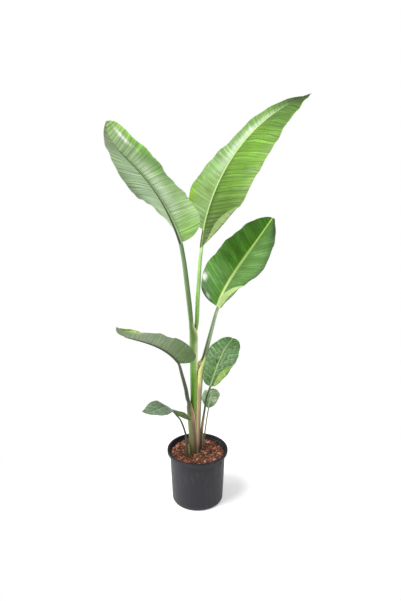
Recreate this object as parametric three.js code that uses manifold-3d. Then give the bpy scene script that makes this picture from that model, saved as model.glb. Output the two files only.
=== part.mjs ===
// Potted strelitzia: seven leaves on clasping stalks, in a nursery pot of bark and coir.
// Millimetres, +Z up. The origin is under the pot's centre, on the floor; the front is toward -Y.
import * as THREE from 'three';
import { mergeVertices } from 'three/addons/utils/BufferGeometryUtils.js';
import Module from 'manifold-3d';

const wasm = await Module();
wasm.setup();

// Pot
const potHeight = 228;
const rimRadius = 120;
const rimBand = 12;
const lipRadius = 110.5;
const wallTopRadius = 109.2;
const baseRadius = 101.3;
const wall = 2.7;
const floorThickness = 6.5;
const baseRecess = 3;
const padRadius = 35;
const footRing = { inner: 80, outer: 91 };
const potSegments = 36;
const drain = { radius: 6, ring: 58, count: 6 };
const vent = { radius: 3.5, height: 200, angles: [-164, -33, 98] };

// Growing medium
const soilTop = 208;
const soilSwell = 3;
const soilDish = 4;
const soilGap = 0.3;
const footLevel = 140;

// Blades and stalks
const bladeThickness = 1.2;
const keelGap = 0.8;
const keelEnd = 0.84;
const ringSpacing = 60;

// The bundle of nested sheaths leans a little; height, x, y of its axis
const bundle = [
  [140, -8, 6],
  [198, -8, 6],
  [247, -10, 8],
  [302, -11.5, 10],
  [356, -12, 13],
  [399, -12, 15],
  [445, -12.3, 17],
  [500, -12.6, 18],
  [600, -13, 17.5],
  [690, -13, 16],
];

// One entry per leaf. The rib is a cubic curve from the joint to the tip, roll turns the blade
// about it, and the plus and minus halves lie on either side. Fold lifts a half at the rib, curl
// bends it on toward the margin, and both are read along the rib, in degrees. Round, taper, sharp
// and blunt shape the outline after the start. Slant and lobe carry the veins and the outer edge
// along the rib, and early under 1 brings the lobe nearer to the joint. Ridge is the relief
// between the veins. A hem is margin that is turned back over.
// A stalk ring is height, x, y, inner radius, back wall, margin wall and half opening angle.
const leaves = [
  {
    name: 'leaf_1',
    colour: 0x7f9a63,
    rib: [[-58, -15, 1088], [-141, -225, 1438], [-284, -323, 1450], [-275, -268, 1551]],
    roll: [0, 15, 13],
    rows: 40,
    ridge: { height: 1.6, count: 10 },
    plus: {
      width: 81, fold: [33, -2, 24], curl: [11, -33, 29], round: 0.4, taper: 0.57, sharp: 2.2,
      blunt: 0.7, slant: 0.15, lobe: 26, lobeEnd: 0.26, wave: [1.5, 150, 20], columns: 5,
    },
    minus: {
      width: 118, fold: [33, 5, 13], curl: [7, -34, -33], round: 0.39, taper: 0.51, sharp: 3,
      blunt: 0.6, slant: 0.17, lobe: 11, lobeEnd: 0.32, wave: [3, 170, 200], columns: 5,
    },
    stalk: {
      arcs: [12, 10],
      rings: [
        [140, 0, 0, 9.9, 4.1, 3.4, 150],
        [198, 0, 0, 9.9, 4.1, 3.4, 150],
        [247, 0, 0, 10, 4.2, 3.4, 150],
        [302, 0, 0, 10.1, 4.3, 3.4, 150],
        [399, 0, 0, 10.3, 4.6, 3.6, 150],
        [600, 0, 0, 10.6, 5, 3.8, 150],
        [690, 0, 0, 11, 5.6, 4, 150],
        [715, -13.3, 15, 11.2, 5.6, 4, 132],
        [740, -14.5, 10.5, 11, 5.5, 3.8, 93],
        [757, -18.5, 8, 8, 6, 3.6, 84],
        [770, -21, 6.5, 4.8, 6.2, 4, 100],
        [785, -23, 5, 3.6, 6.4, 5.2, 118],
        [847, -28.8, 2, 3.4, 6.8, 5.8, 122],
        [918, -36.2, -2.5, 3.4, 6.6, 5.8, 122],
        [1011, -46.3, -8.5, 3, 6.3, 5.5, 118],
      ],
      keel: [2.4, 5.6],
    },
  },
  {
    name: 'leaf_2',
    colour: 0x86b04c,
    rib: [[14, 15, 1060], [31, 70, 1251], [158, 248, 1472], [401, 249, 1563]],
    roll: [7, 3, -20],
    rows: 40,
    ridge: { height: 1.8, count: 10 },
    plus: {
      width: 165, fold: [23, 11, 30], curl: [-45, -34, -19], round: 0.16, taper: 0.6, sharp: 2.2,
      blunt: 0.7, slant: 0.8, lobe: 36, lobeEnd: 0.35, early: 0.45, wave: [2, 150, 200], columns: 5,
      hem: { width: 26, from: 0, to: 0.1, turn: 150 },
    },
    minus: {
      width: 125, fold: [34, 3, 23], curl: [-10, -30, -35], start: 0.085, round: 0.27,
      taper: 0.34, sharp: 1.6, blunt: 1, slant: 0.48, lobe: 18, lobeEnd: 0.26,
      wave: [2, 160, 0], columns: 5,
    },
    stalk: {
      arcs: [9, 5],
      rings: [
        [140, 0, 0, 2.6, 6.5, 5.8, 130],
        [198, 0, 0, 2.6, 6.5, 5.8, 130],
        [247, 0, 0, 2.6, 6.6, 5.8, 130],
        [302, 0, 0, 2.6, 6.6, 5.8, 130],
        [399, 0, 0, 2.6, 6.8, 6, 130],
        [600, 0, 0, 2.6, 6.8, 6, 130],
        [690, 0, 0, 2.6, 6.4, 5.6, 130],
        [715, -11.5, 16.5, 2.6, 6.1, 5.4, 130],
        [740, -6.5, 18.5, 2.6, 6, 5.3, 130],
        [765, -3, 19.5, 2.9, 6, 5.4, 128],
        [799, -1.8, 19, 3.2, 6.2, 5.6, 126],
        [847, -0.2, 18, 3.2, 6, 5.4, 124],
        [918, 4, 17, 3, 5.7, 5.2, 122],
        [1011, 9.5, 16, 2.7, 5, 4.6, 118],
      ],
      keel: [2.2, 4.7],
    },
  },
  {
    name: 'leaf_3',
    colour: 0x3f7a35,
    rib: [[77, 55, 811], [101, 62, 912], [200, 137, 1003], [285, 185, 1121]],
    roll: [1, 13, -10],
    rows: 36,
    ridge: { height: 1.4, count: 9 },
    plus: {
      width: 105, fold: [26, 8, 17], curl: [-10, -24, -3], round: 0.44, taper: 0.58, sharp: 2.4,
      blunt: 0.7, slant: 0.3, lobe: 23, lobeEnd: 0.18, early: 0.75, wave: [2.5, 130, 90], columns: 4,
      hem: { width: 30, from: 0, to: 0.22, turn: 160 },
    },
    minus: {
      width: 122, fold: [27, 14, 13], curl: [-1, -19, -4], round: 0.26, taper: 0.44, sharp: 2.4,
      blunt: 0.7, slant: 0.3, lobe: 24, lobeEnd: 0.3, early: 0.7, wave: [3.5, 110, 40], columns: 4,
    },
    stalk: {
      arcs: [10, 8],
      rings: [
        [140, 0, 0, 14.9, 6, 2.4, 87],
        [198, 0, 0, 14.9, 6, 2.4, 87],
        [247, 0, 0, 15, 8, 2.6, 85],
        [302, 0, 0, 15.3, 9, 2.8, 88],
        [356, -11.2, 13.5, 15.7, 10, 3, 96.5],
        [399, -10.3, 16, 16, 10, 3, 97],
        [445, -8.9, 19.2, 16, 10.5, 3, 97],
        [500, -6.6, 21.7, 16, 11.5, 3, 99],
        [540, -4, 22.1, 15.8, 11.5, 3, 103],
        [567, -0.5, 22.8, 15, 11, 3, 104],
        [583, 6.5, 25.2, 12.4, 10, 3, 100],
        [597, 16, 28.9, 7, 8.5, 3.5, 98],
        [610, 23.2, 33.5, 3.6, 7.8, 5.4, 112],
        [641, 32.5, 39, 3.4, 6.8, 5.6, 120],
        [689, 44.5, 44.5, 3.2, 6, 5.2, 120],
        [735, 56.2, 49.5, 3, 5.4, 4.8, 120],
        [783, 68.4, 53, 2.8, 4.7, 4.2, 118],
      ],
      keel: [2.2, 4.5],
    },
  },
  {
    name: 'leaf_4',
    colour: 0x6f8a58,
    rib: [[-68, -35, 620], [-148, -86, 762], [-301, -181, 769], [-282, -168, 825]],
    roll: [-12, 4, -9],
    rows: 28,
    ridge: { height: 1.2, count: 7 },
    plus: {
      width: 46, fold: [40, 33, 47], curl: [0, -7, -3], round: 0.35, taper: 0.44, sharp: 2.2,
      blunt: 0.7, slant: 0.3, lobe: 25, lobeEnd: 0.3, wave: [2, 100, 0], columns: 3,
    },
    minus: {
      width: 106, fold: [47, 36, 45], curl: [18, -8, -7], round: 0.32, taper: 0.49, sharp: 2.2,
      blunt: 0.7, slant: 0.18, lobe: 42, lobeEnd: 0.43, early: 0.6, wave: [3, 100, 60], columns: 5,
    },
    stalk: {
      arcs: [10, 8],
      rings: [
        [140, 0, 0, 14.9, 6, 2.4, 89],
        [198, 0, 0, 14.9, 6, 2.4, 89],
        [247, 0, 0, 15, 8, 2.6, 89],
        [302, -12.3, 9.5, 15.3, 9, 2.8, 88],
        [356, -14.1, 11.7, 15.8, 10.5, 3, 81],
        [399, -16.2, 12.3, 16, 11, 3, 68],
        [423, -20, 11.1, 14, 10.5, 3, 56],
        [436, -26, 7, 8.5, 9.5, 3.2, 66],
        [449, -33.5, 1, 4, 8, 4.8, 100],
        [498, -42.5, -7, 3.4, 6.2, 5, 118],
        [560, -55.5, -20, 3, 5.4, 4.4, 120],
      ],
      keel: [1.8, 3.6],
    },
  },
  {
    name: 'leaf_5',
    colour: 0x4b7d49,
    rib: [[50, 75, 466], [72, 89, 525], [89, 134, 588], [142, 176, 628]],
    roll: [-3, 7, -4],
    rows: 24,
    ridge: { height: 1.2, count: 6 },
    plus: {
      width: 74, fold: [17, 9, 11], curl: [-13, -17, -4], round: 0.42, taper: 0.52, sharp: 2.4,
      blunt: 0.65, slant: 0.39, lobe: 11, lobeEnd: 0.29, early: 0.6, wave: [2, 80, 0], columns: 4,
      hem: { width: 25, from: 0, to: 0.38, turn: 155 },
    },
    minus: {
      width: 62, fold: [14, 16, 7], curl: [-17, -9, -4], round: 0.42, taper: 0.47, sharp: 2.4,
      blunt: 0.65, slant: 0.17, lobe: 15, lobeEnd: 0.29, early: 0.6, wave: [2, 70, 60], columns: 4,
    },
    stalk: {
      arcs: [8, 5],
      rings: [
        [140, 13, 26.5, 4.8, 2.5, 1.6, 105],
        [198, 13, 26.5, 4.8, 2.5, 1.6, 105],
        [250, 14, 23, 4.8, 2.5, 1.6, 104],
        [302, 16.5, 20, 4.8, 2.5, 1.6, 102],
        [345, 21, 19.5, 4.4, 2.6, 1.6, 100],
        [366, 24.2, 24, 3, 3, 1.8, 96],
        [382, 27.2, 29.5, 1.8, 3.1, 2.4, 110],
        [424, 35, 47, 1.6, 3, 2.6, 118],
      ],
      keel: [1.4, 3],
    },
  },
  {
    name: 'leaf_6',
    colour: 0x66805f,
    rib: [[-78, -33, 397], [-131, -70, 493], [-151, -123, 438], [-205, -137, 470]],
    roll: [4, -2, -3],
    rows: 20,
    ridge: { height: 0.9, count: 5 },
    plus: {
      width: 49, fold: [16, 9, 10], curl: [-19, -16, -1], round: 0.33, taper: 0.47, sharp: 2.2,
      blunt: 0.7, slant: 0.22, lobe: 13, lobeEnd: 0.36, wave: [1.5, 70, 0], columns: 3,
    },
    minus: {
      width: 37, fold: [58, -2, -2], curl: [-17, -17, 1], round: 0.12, taper: 0.46, sharp: 2.2,
      blunt: 0.7, slant: -0.1, lobe: 62, lobeEnd: 0.3, early: 0.5, wave: [1.5, 70, 90], columns: 4,
    },
    stalk: {
      arcs: [8, 5],
      rings: [
        [140, -33, -14, 7.5, 3.5, 1.6, 105],
        [198, -33, -14, 7.5, 3.5, 1.6, 105],
        [235, -37, -7, 7, 3.5, 1.6, 100],
        [262, -40, -6, 5, 4, 1.8, 88],
        [280, -43, -7.5, 2.6, 3.5, 2.2, 105],
        [298, -45.6, -9, 1.7, 3.2, 2.6, 118],
        [346, -57.5, -17, 1.5, 3, 2.6, 118],
        [378, -68.5, -26.5, 1.4, 2.9, 2.5, 116],
      ],
      keel: [1.2, 2.8],
    },
  },
  {
    name: 'leaf_7',
    colour: 0x6c8769,
    rib: [[44, 75, 368], [45, 99, 421], [67, 135, 399], [60, 126, 429]],
    roll: [-1, -4, 2],
    rows: 16,
    ridge: { height: 0.7, count: 4 },
    plus: {
      width: 37, fold: [15, 14, 16], curl: [-15, -13, 0], round: 0.4, taper: 0.53, sharp: 2.2,
      blunt: 0.6, slant: 0.13, lobe: 1, lobeEnd: 0.3, wave: [1, 60, 0], columns: 3,
    },
    minus: {
      width: 34, fold: [15, 13, 17], curl: [-15, -15, 1], round: 0.41, taper: 0.5, sharp: 2.2,
      blunt: 0.6, slant: 0.15, lobe: -5, lobeEnd: 0.29, wave: [1, 60, 90], columns: 3,
    },
    stalk: {
      arcs: [8, 5],
      rings: [
        [140, 24, 53, 1.8, 2.2, 1.6, 115],
        [198, 24, 53, 1.8, 2.2, 1.6, 115],
        [257, 28.5, 59, 1.4, 2, 1.6, 115],
        [282, 31.8, 63, 1.2, 1.9, 1.5, 115],
        [333, 38.5, 69, 1.1, 1.8, 1.5, 115],
      ],
      keel: [0.9, 1.8],
    },
  },
];

const up = new THREE.Vector3(0, 0, 1);

// Evenly spaced values read at a share of the way along
function along(values, share) {
  const place = THREE.MathUtils.clamp(share, 0, 1) * (values.length - 1);
  const first = Math.min(Math.floor(place), values.length - 2);
  return THREE.MathUtils.lerp(values[first], values[first + 1], place - first);
}

function smooth(share) {
  const held = THREE.MathUtils.clamp(share, 0, 1);
  return held * held * (3 - 2 * held);
}

// Frame across a direction: normal faces back over the joint and up, side is square to both
function frameAt(direction, leaf, roll) {
  const facing = leaf.lean.clone().negate().addScaledVector(up, 0.6);
  facing.addScaledVector(direction, -facing.dot(direction)).normalize();
  facing.applyAxisAngle(direction, THREE.MathUtils.degToRad(roll));
  return { normal: facing, side: new THREE.Vector3().crossVectors(direction, facing) };
}

// Point and frame on the rib at a distance from the joint, carried straight on past either end
function ribAt(leaf, distance) {
  const share = THREE.MathUtils.clamp(distance / leaf.length, 0, 1);
  const direction = leaf.curve.getTangentAt(share);
  const centre = leaf.curve.getPointAt(share);
  centre.addScaledVector(direction, distance - share * leaf.length);
  return { centre, share, ...frameAt(direction, leaf, along(leaf.roll, share)) };
}

// Closed skin over rings of points. From the turn on, the quads are split the other way, so that
// the two faces of a blade carry the same triangles. Points that meet are merged.
function skin(rings, capped, turn = Infinity) {
  const count = rings[0].length;
  const positions = rings.flat().flatMap((point) => point.toArray());
  const triangles = [];
  for (let i = 0; i < rings.length - 1; i += 1) {
    for (let j = 0; j < count; j += 1) {
      const a = i * count + j;
      const b = i * count + ((j + 1) % count);
      const c = b + count;
      const d = a + count;
      if (j < turn) {
        triangles.push([a, b, c], [a, c, d]);
      } else {
        triangles.push([a, b, d], [b, c, d]);
      }
    }
  }
  if (capped) {
    const flat = capOutline(rings[0]);
    const cap = THREE.ShapeUtils.triangulateShape(flat, []);
    const last = (rings.length - 1) * count;
    for (const [a, b, c] of cap) {
      triangles.push([c, b, a], [last + a, last + b, last + c]);
    }
  }
  const loose = new THREE.BufferGeometry();
  loose.setAttribute('position', new THREE.Float32BufferAttribute(positions, 3));
  loose.setIndex(triangles.flat());
  return facingOut(mergeVertices(loose, 1e-4));
}

// A ring's points in its own plane, counter-clockwise
function capOutline(ring) {
  const centre = ring.reduce((sum, point) => sum.add(point), new THREE.Vector3());
  centre.divideScalar(ring.length);
  const first = ring[0].clone().sub(centre).normalize();
  const turned = new THREE.Vector3();
  ring.forEach((point, i) => {
    const next = ring[(i + 1) % ring.length];
    turned.add(new THREE.Vector3().crossVectors(point, next));
  });
  const second = new THREE.Vector3().crossVectors(turned.normalize(), first);
  return ring.map((point) => {
    const arm = point.clone().sub(centre);
    return new THREE.Vector2(arm.dot(first), arm.dot(second));
  });
}

// Drops triangles that merging has closed up, and turns the faces outward
function facingOut(geometry) {
  const position = geometry.getAttribute('position');
  const index = Array.from(geometry.getIndex().array);
  const corner = [0, 1, 2].map(() => new THREE.Vector3());
  const kept = [];
  let volume = 0;
  for (let i = 0; i < index.length; i += 3) {
    const [a, b, c] = index.slice(i, i + 3);
    if (a !== b && b !== c && c !== a) {
      kept.push([a, b, c]);
      [a, b, c].forEach((vertex, k) => corner[k].fromBufferAttribute(position, vertex));
      volume += corner[0].dot(corner[1].clone().cross(corner[2]));
    }
  }
  const wound = volume > 0 ? kept : kept.map(([a, b, c]) => [a, c, b]);
  geometry.setIndex(wound.flat());
  geometry.computeVertexNormals();
  return geometry;
}

// Points and face directions of one half of a blade row, from beside the rib to the margin
function halfRow(leaf, half, sign, rowShare) {
  const t = rowShare ** 1.25;
  const start = half.start ?? 0;
  const grown = Math.max(0, (t - start) / (1 - start));
  const rise = Math.sqrt(1 - (1 - Math.min(grown / half.round, 1)) ** 2);
  const narrowed = Math.max(0, (grown - half.taper) / (1 - half.taper)) ** half.sharp;
  const width = half.width * rise * (1 - narrowed) ** half.blunt;
  const swing = Math.min(grown / half.lobeEnd, 1) ** (half.early ?? 1);
  const back = half.lobe * Math.sin(Math.PI * swing);
  const shift = half.slant * width - back;
  const marks = [];
  for (let j = 1; j <= half.columns; j += 1) {
    marks.push((width * j) / half.columns);
  }
  let hemWidth = 0;
  if (half.hem) {
    const place = (t - half.hem.from) / (half.hem.to - half.hem.from);
    hemWidth = half.hem.width * Math.sin(Math.PI * THREE.MathUtils.clamp(place, 0, 1));
    marks.push(width + 0.2 * hemWidth, width + 0.4 * hemWidth, width + hemWidth);
  }
  const distanceAt = (y) => leaf.length * t + shift * Math.min(y / (width || 1), 1) ** 1.6;
  const angleAt = (y) => {
    const share = distanceAt(y) / leaf.length;
    const past = y - width + 0.25 * hemWidth;
    const turned = hemWidth > 0 ? half.hem.turn * smooth(past / (0.4 * hemWidth)) : 0;
    const bend = along(half.fold, share) + (along(half.curl, share) * y) / half.width;
    return THREE.MathUtils.degToRad(bend + turned);
  };
  const [waveHeight, waveLength, wavePhase] = half.wave;
  const steps = 6;
  let reach = 0;
  let across = 0;
  let rising = 0;
  return marks.map((mark) => {
    const step = (mark - reach) / steps;
    for (let k = 0; k < steps; k += 1) {
      const angle = angleAt(reach + step * (k + 0.5));
      across += step * Math.cos(angle);
      rising += step * Math.sin(angle);
    }
    reach = mark;
    const { centre, normal, side } = ribAt(leaf, distanceAt(reach));
    const angle = width > 0 ? angleAt(reach) : 0;
    const face = normal.clone().multiplyScalar(Math.cos(angle));
    face.addScaledVector(side, -sign * Math.sin(angle));
    const out = Math.min(reach / (width || 1), 1);
    const turn = (360 * distanceAt(reach)) / waveLength + wavePhase;
    const wave = waveHeight * out ** 2 * Math.sin(THREE.MathUtils.degToRad(turn));
    const relief = leaf.ridge.height * Math.sin(2 * Math.PI * leaf.ridge.count * rowShare);
    const held = (smooth(out / 0.35) * width) / half.width;
    centre.addScaledVector(side, sign * across).addScaledVector(normal, rising);
    centre.addScaledVector(face, (wave + relief) * held);
    return { point: centre, face };
  });
}

// A blade: rows from margin to margin over the rib, with half its thickness either way
function bladeGeometry(leaf) {
  const rings = [];
  let across = 0;
  for (let i = 0; i <= leaf.rows; i += 1) {
    const rowShare = i / leaf.rows;
    const rib = ribAt(leaf, leaf.length * rowShare ** 1.25);
    const row = [
      ...halfRow(leaf, leaf.minus, -1, rowShare).reverse(),
      { point: rib.centre, face: rib.normal },
      ...halfRow(leaf, leaf.plus, 1, rowShare),
    ];
    const offset = (entry, sign) =>
      entry.point.clone().addScaledVector(entry.face, (sign * bladeThickness) / 2);
    if (i === 0 || i === leaf.rows) {
      row.forEach((entry) => entry.face.copy(rib.normal));
    }
    rings.push([
      ...row.map((entry) => offset(entry, 1)),
      ...row.reverse().map((entry) => offset(entry, -1)),
    ]);
    across = row.length;
  }
  return skin(rings, false, across);
}

// One ring of a stalk: round the back from margin to margin outside, then back inside. The wall
// is full at the back and thins toward the margins.
function stalkRing(section, arcs) {
  const [outerCount, innerCount] = arcs;
  const { centre, normal, side, inner, back, edge, plus, minus } = section;
  const pointAt = (angle, radius) => {
    const arm = normal.clone().multiplyScalar(-Math.cos(angle) * radius);
    return arm.addScaledVector(side, Math.sin(angle) * radius).add(centre);
  };
  const points = [];
  for (let j = 0; j < outerCount; j += 1) {
    const place = (2 * j) / (outerCount - 1) - 1;
    const angle = THREE.MathUtils.degToRad(place < 0 ? place * minus : place * plus);
    const full = Math.cos((Math.PI / 2) * place) ** 2;
    points.push(pointAt(angle, inner + THREE.MathUtils.lerp(edge, back, full)));
  }
  for (let j = 0; j < innerCount; j += 1) {
    const place = 1 - (2 * j) / (innerCount - 1);
    const angle = THREE.MathUtils.degToRad(place < 0 ? place * minus : place * plus);
    points.push(pointAt(angle, inner));
  }
  return points;
}

// Axis of the bundle at a height
function bundleAt(height) {
  const next = Math.max(1, bundle.findIndex((entry) => entry[0] >= height));
  const [low, high] = [bundle[next - 1], bundle[next]];
  const share = (height - low[0]) / (high[0] - low[0]);
  return [THREE.MathUtils.lerp(low[1], high[1], share), THREE.MathUtils.lerp(low[2], high[2], share)];
}

// Keel sections under the blade, at every second row, hugging the fold of its halves
function keelSections(leaf) {
  const [inner, wallAtJoint] = leaf.stalk.keel;
  const sections = [];
  for (let i = 0; i < leaf.rows; i += 2) {
    const t = (i / leaf.rows) ** 1.25;
    if (t > keelEnd) {
      break;
    }
    const { centre, normal, side, share } = ribAt(leaf, leaf.length * t);
    const folds = [along(leaf.plus.fold, share), along(leaf.minus.fold, share)];
    const steepest = THREE.MathUtils.degToRad(Math.max(...folds.map(Math.abs)));
    const slimmed = THREE.MathUtils.lerp(1, 0.16, share / keelEnd);
    sections.push({
      centre: centre.addScaledVector(normal, -(bladeThickness / 2 + keelGap) / Math.cos(steepest)),
      normal,
      side,
      inner: inner * slimmed,
      back: wallAtJoint * slimmed,
      edge: wallAtJoint * slimmed,
      plus: 90 + folds[0],
      minus: 90 + folds[1],
    });
  }
  return sections;
}

// A stalk: sheath, petiole and keel as one body
function stalkGeometry(leaf) {
  const given = leaf.stalk.rings.map(([height, x, y, inner, back, edge, half]) => {
    const [axisX, axisY] = x === 0 && y === 0 ? bundleAt(height) : [x, y];
    const centre = new THREE.Vector3(axisX, axisY, height);
    return { centre, inner, back, edge, plus: half, minus: half };
  });
  const keel = keelSections(leaf);
  const joined = [...given, keel[0], keel[1]];
  const path = new THREE.CatmullRomCurve3(joined.map((entry) => entry.centre), false, 'centripetal');
  const sections = [];
  for (let i = 0; i < given.length; i += 1) {
    const [from, to] = [joined[i], joined[i + 1]];
    const pieces = Math.max(1, Math.round(from.centre.distanceTo(to.centre) / ringSpacing));
    for (let k = 0; k < pieces; k += 1) {
      const share = k / pieces;
      const place = (i + share) / (joined.length - 1);
      const roll = leaf.roll[0] * (i / given.length) ** 2;
      const mixed = { centre: path.getPoint(place) };
      for (const key of ['inner', 'back', 'edge', 'plus', 'minus']) {
        mixed[key] = THREE.MathUtils.lerp(from[key], to[key], share);
      }
      const direction = i === 0 ? up.clone() : path.getTangent(place);
      sections.push({ ...mixed, ...frameAt(direction, leaf, roll) });
    }
  }
  const rings = [...sections, ...keel].map((section) => stalkRing(section, leaf.stalk.arcs));
  return skin(rings, true);
}

function toManifold(geometry) {
  const bare = new THREE.BufferGeometry();
  bare.setAttribute('position', geometry.getAttribute('position'));
  bare.setIndex(geometry.getIndex());
  const merged = mergeVertices(bare, 1e-4);
  return new wasm.Manifold(new wasm.Mesh({
    numProp: 3,
    vertProperties: new Float32Array(merged.getAttribute('position').array),
    triVerts: new Uint32Array(merged.getIndex().array),
  }));
}

function fromManifold(solid) {
  const { vertProperties, triVerts } = solid.getMesh();
  const geometry = new THREE.BufferGeometry();
  geometry.setAttribute('position', new THREE.BufferAttribute(vertProperties, 3));
  geometry.setIndex(new THREE.BufferAttribute(triVerts, 1));
  geometry.computeVertexNormals();
  return geometry;
}

// Upright cylinder between two heights, or one that lies along the direction of an angle
function uprightPin(x, y, radius, low, high) {
  const pin = new THREE.CylinderGeometry(radius, radius, high - low, 20);
  pin.rotateX(Math.PI / 2).translate(x, y, (low + high) / 2);
  return pin;
}

function outwardPin(angle, radius, near, far, height) {
  const pin = new THREE.CylinderGeometry(radius, radius, far - near, 12);
  pin.rotateZ(-Math.PI / 2).translate((near + far) / 2, 0, 0);
  pin.rotateZ(THREE.MathUtils.degToRad(angle)).translate(0, 0, height);
  return pin;
}

// Radius of the pot's inner wall at a height
function innerWallAt(height) {
  const share = (height - 10) / (potHeight - rimBand - 2 - 10);
  return THREE.MathUtils.lerp(baseRadius, wallTopRadius, share) - wall;
}

// Turns a profile in radius and height round the upright axis
function turnedSolid(profile) {
  const points = profile.map(([radius, height]) => new THREE.Vector2(radius, height));
  const lathe = new THREE.LatheGeometry(points, potSegments);
  lathe.rotateX(Math.PI / 2);
  lathe.deleteAttribute('normal');
  lathe.deleteAttribute('uv');
  return facingOut(mergeVertices(lathe, 1e-3));
}

function potGeometry() {
  const bandFoot = potHeight - rimBand;
  const body = turnedSolid([
    [0, 0],
    [padRadius, 0],
    [padRadius + 2, baseRecess],
    [footRing.inner - 2, baseRecess],
    [footRing.inner, 0],
    [footRing.outer, 0],
    [baseRadius - 3, 2.6],
    [baseRadius, 9],
    [wallTopRadius, bandFoot - 2],
    [lipRadius + 1.5, bandFoot + 1],
    [lipRadius + 2, potHeight - 3],
    [rimRadius - 2.5, potHeight - 3],
    [rimRadius - 2.2, bandFoot],
    [rimRadius, bandFoot],
    [rimRadius, potHeight - 1.5],
    [rimRadius - 1.5, potHeight],
    [lipRadius + 1.5, potHeight],
    [lipRadius, potHeight - 1.5],
    [lipRadius - 0.4, bandFoot + 2],
    [innerWallAt(bandFoot - 4), bandFoot - 4],
    [innerWallAt(10), 10],
    [innerWallAt(10) - 3.3, floorThickness],
    [0, floorThickness],
  ]);
  let solid = toManifold(body);
  for (let i = 0; i < drain.count; i += 1) {
    const angle = (2 * Math.PI * (i + 0.5)) / drain.count;
    const [x, y] = [drain.ring * Math.cos(angle), drain.ring * Math.sin(angle)];
    solid = solid.subtract(toManifold(uprightPin(x, y, drain.radius, -1, floorThickness + 1)));
  }
  for (const angle of vent.angles) {
    const hole = outwardPin(angle, vent.radius, wallTopRadius - 12, wallTopRadius + 6, vent.height);
    solid = solid.subtract(toManifold(hole));
  }
  return fromManifold(solid);
}

function soilGeometry() {
  const edge = innerWallAt(soilTop) - soilGap;
  const body = turnedSolid([
    [0, floorThickness + soilGap],
    [innerWallAt(10) - 3.6, floorThickness + soilGap],
    [innerWallAt(12) - soilGap, 12],
    [edge, soilTop - 2],
    [edge - 8, soilTop],
    [edge - 26, soilTop],
    [edge - 52, soilTop],
    [edge - 78, soilTop],
    [0, soilTop],
  ]);
  const position = body.getAttribute('position');
  for (let i = 0; i < position.count; i += 1) {
    const [x, y, z] = [position.getX(i), position.getY(i), position.getZ(i)];
    if (z > soilTop - 1) {
      const swell = Math.sin(x / 17 + 1) * Math.cos(y / 21) + 0.4 * Math.sin((x - 2 * y) / 13);
      const dish = soilDish * ((x * x + y * y) / 104 ** 2 - 0.5);
      position.setZ(i, z + (soilSwell * swell) / 1.4 + dish);
    }
  }
  let solid = toManifold(body);
  const holes = [
    [bundle[0][1], bundle[0][2], 22.3],
    ...leaves.slice(4).map((leaf) => {
      const [, x, y, inner, back] = leaf.stalk.rings[0];
      return [x, y, inner + back + 1.3];
    }),
  ];
  for (const [x, y, radius] of holes) {
    const hole = uprightPin(x, y, radius, footLevel - soilGap, soilTop + 10);
    solid = solid.subtract(toManifold(hole));
  }
  return fromManifold(solid);
}

function namedMesh(name, geometry, colour, roughness) {
  const material = new THREE.MeshStandardMaterial({ color: colour, roughness, metalness: 0 });
  const mesh = new THREE.Mesh(geometry, material);
  mesh.name = name;
  return mesh;
}

const plant = new THREE.Group();
plant.add(namedMesh('pot', potGeometry(), 0x3b3f42, 0.55));
plant.add(namedMesh('soil', soilGeometry(), 0x5b3a2c, 0.9));
for (const leaf of leaves) {
  const [joint, firstPull, secondPull, tip] = leaf.rib.map((at) => new THREE.Vector3(...at));
  leaf.curve = new THREE.CubicBezierCurve3(joint, firstPull, secondPull, tip);
  leaf.length = leaf.curve.getLength();
  leaf.lean = tip.clone().sub(joint).setZ(0).normalize();
  plant.add(namedMesh(`${leaf.name}_stalk`, stalkGeometry(leaf), 0x7d9450, 0.5));
  plant.add(namedMesh(`${leaf.name}_blade`, bladeGeometry(leaf), leaf.colour, 0.45));
}

export default plant;
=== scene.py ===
# Potted strelitzia in a nursery pot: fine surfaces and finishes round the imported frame.
# Sizes in the dictionaries are millimetres and degrees, colours are 0 to 255 as seen on a screen.
import math
import bmesh
import bpy
import numpy as np
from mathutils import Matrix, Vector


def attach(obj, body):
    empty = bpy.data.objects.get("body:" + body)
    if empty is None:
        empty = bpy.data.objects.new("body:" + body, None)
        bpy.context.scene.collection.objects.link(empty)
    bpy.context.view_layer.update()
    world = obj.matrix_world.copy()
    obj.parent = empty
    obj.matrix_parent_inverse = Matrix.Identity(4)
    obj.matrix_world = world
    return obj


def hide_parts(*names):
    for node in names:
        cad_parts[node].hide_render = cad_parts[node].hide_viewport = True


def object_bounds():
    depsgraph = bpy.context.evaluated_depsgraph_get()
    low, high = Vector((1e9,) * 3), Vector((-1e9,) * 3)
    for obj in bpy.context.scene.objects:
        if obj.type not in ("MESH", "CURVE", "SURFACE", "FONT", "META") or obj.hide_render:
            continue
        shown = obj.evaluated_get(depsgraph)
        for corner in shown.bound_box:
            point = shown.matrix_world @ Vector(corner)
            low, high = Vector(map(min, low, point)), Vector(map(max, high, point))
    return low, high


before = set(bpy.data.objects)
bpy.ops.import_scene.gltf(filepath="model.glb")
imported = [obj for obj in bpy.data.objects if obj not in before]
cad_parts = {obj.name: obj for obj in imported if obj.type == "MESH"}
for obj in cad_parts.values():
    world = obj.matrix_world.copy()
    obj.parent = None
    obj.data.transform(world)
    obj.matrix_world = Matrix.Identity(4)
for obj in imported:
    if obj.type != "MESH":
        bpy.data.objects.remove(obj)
cadBox = [[float(v) for v in corner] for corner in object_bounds()]
print("frame loaded with", len(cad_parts), "nodes")

scene = bpy.context.scene
mm = 0.001
up = np.array([0.0, 0.0, 1.0])
boxLow, boxHigh = (np.array(corner) / mm for corner in cadBox)


# 3s^2 - 2s^3 between 0 and 1
def smooth(share):
    held = np.clip(share, 0.0, 1.0)
    return held * held * (3.0 - 2.0 * held)


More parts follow.
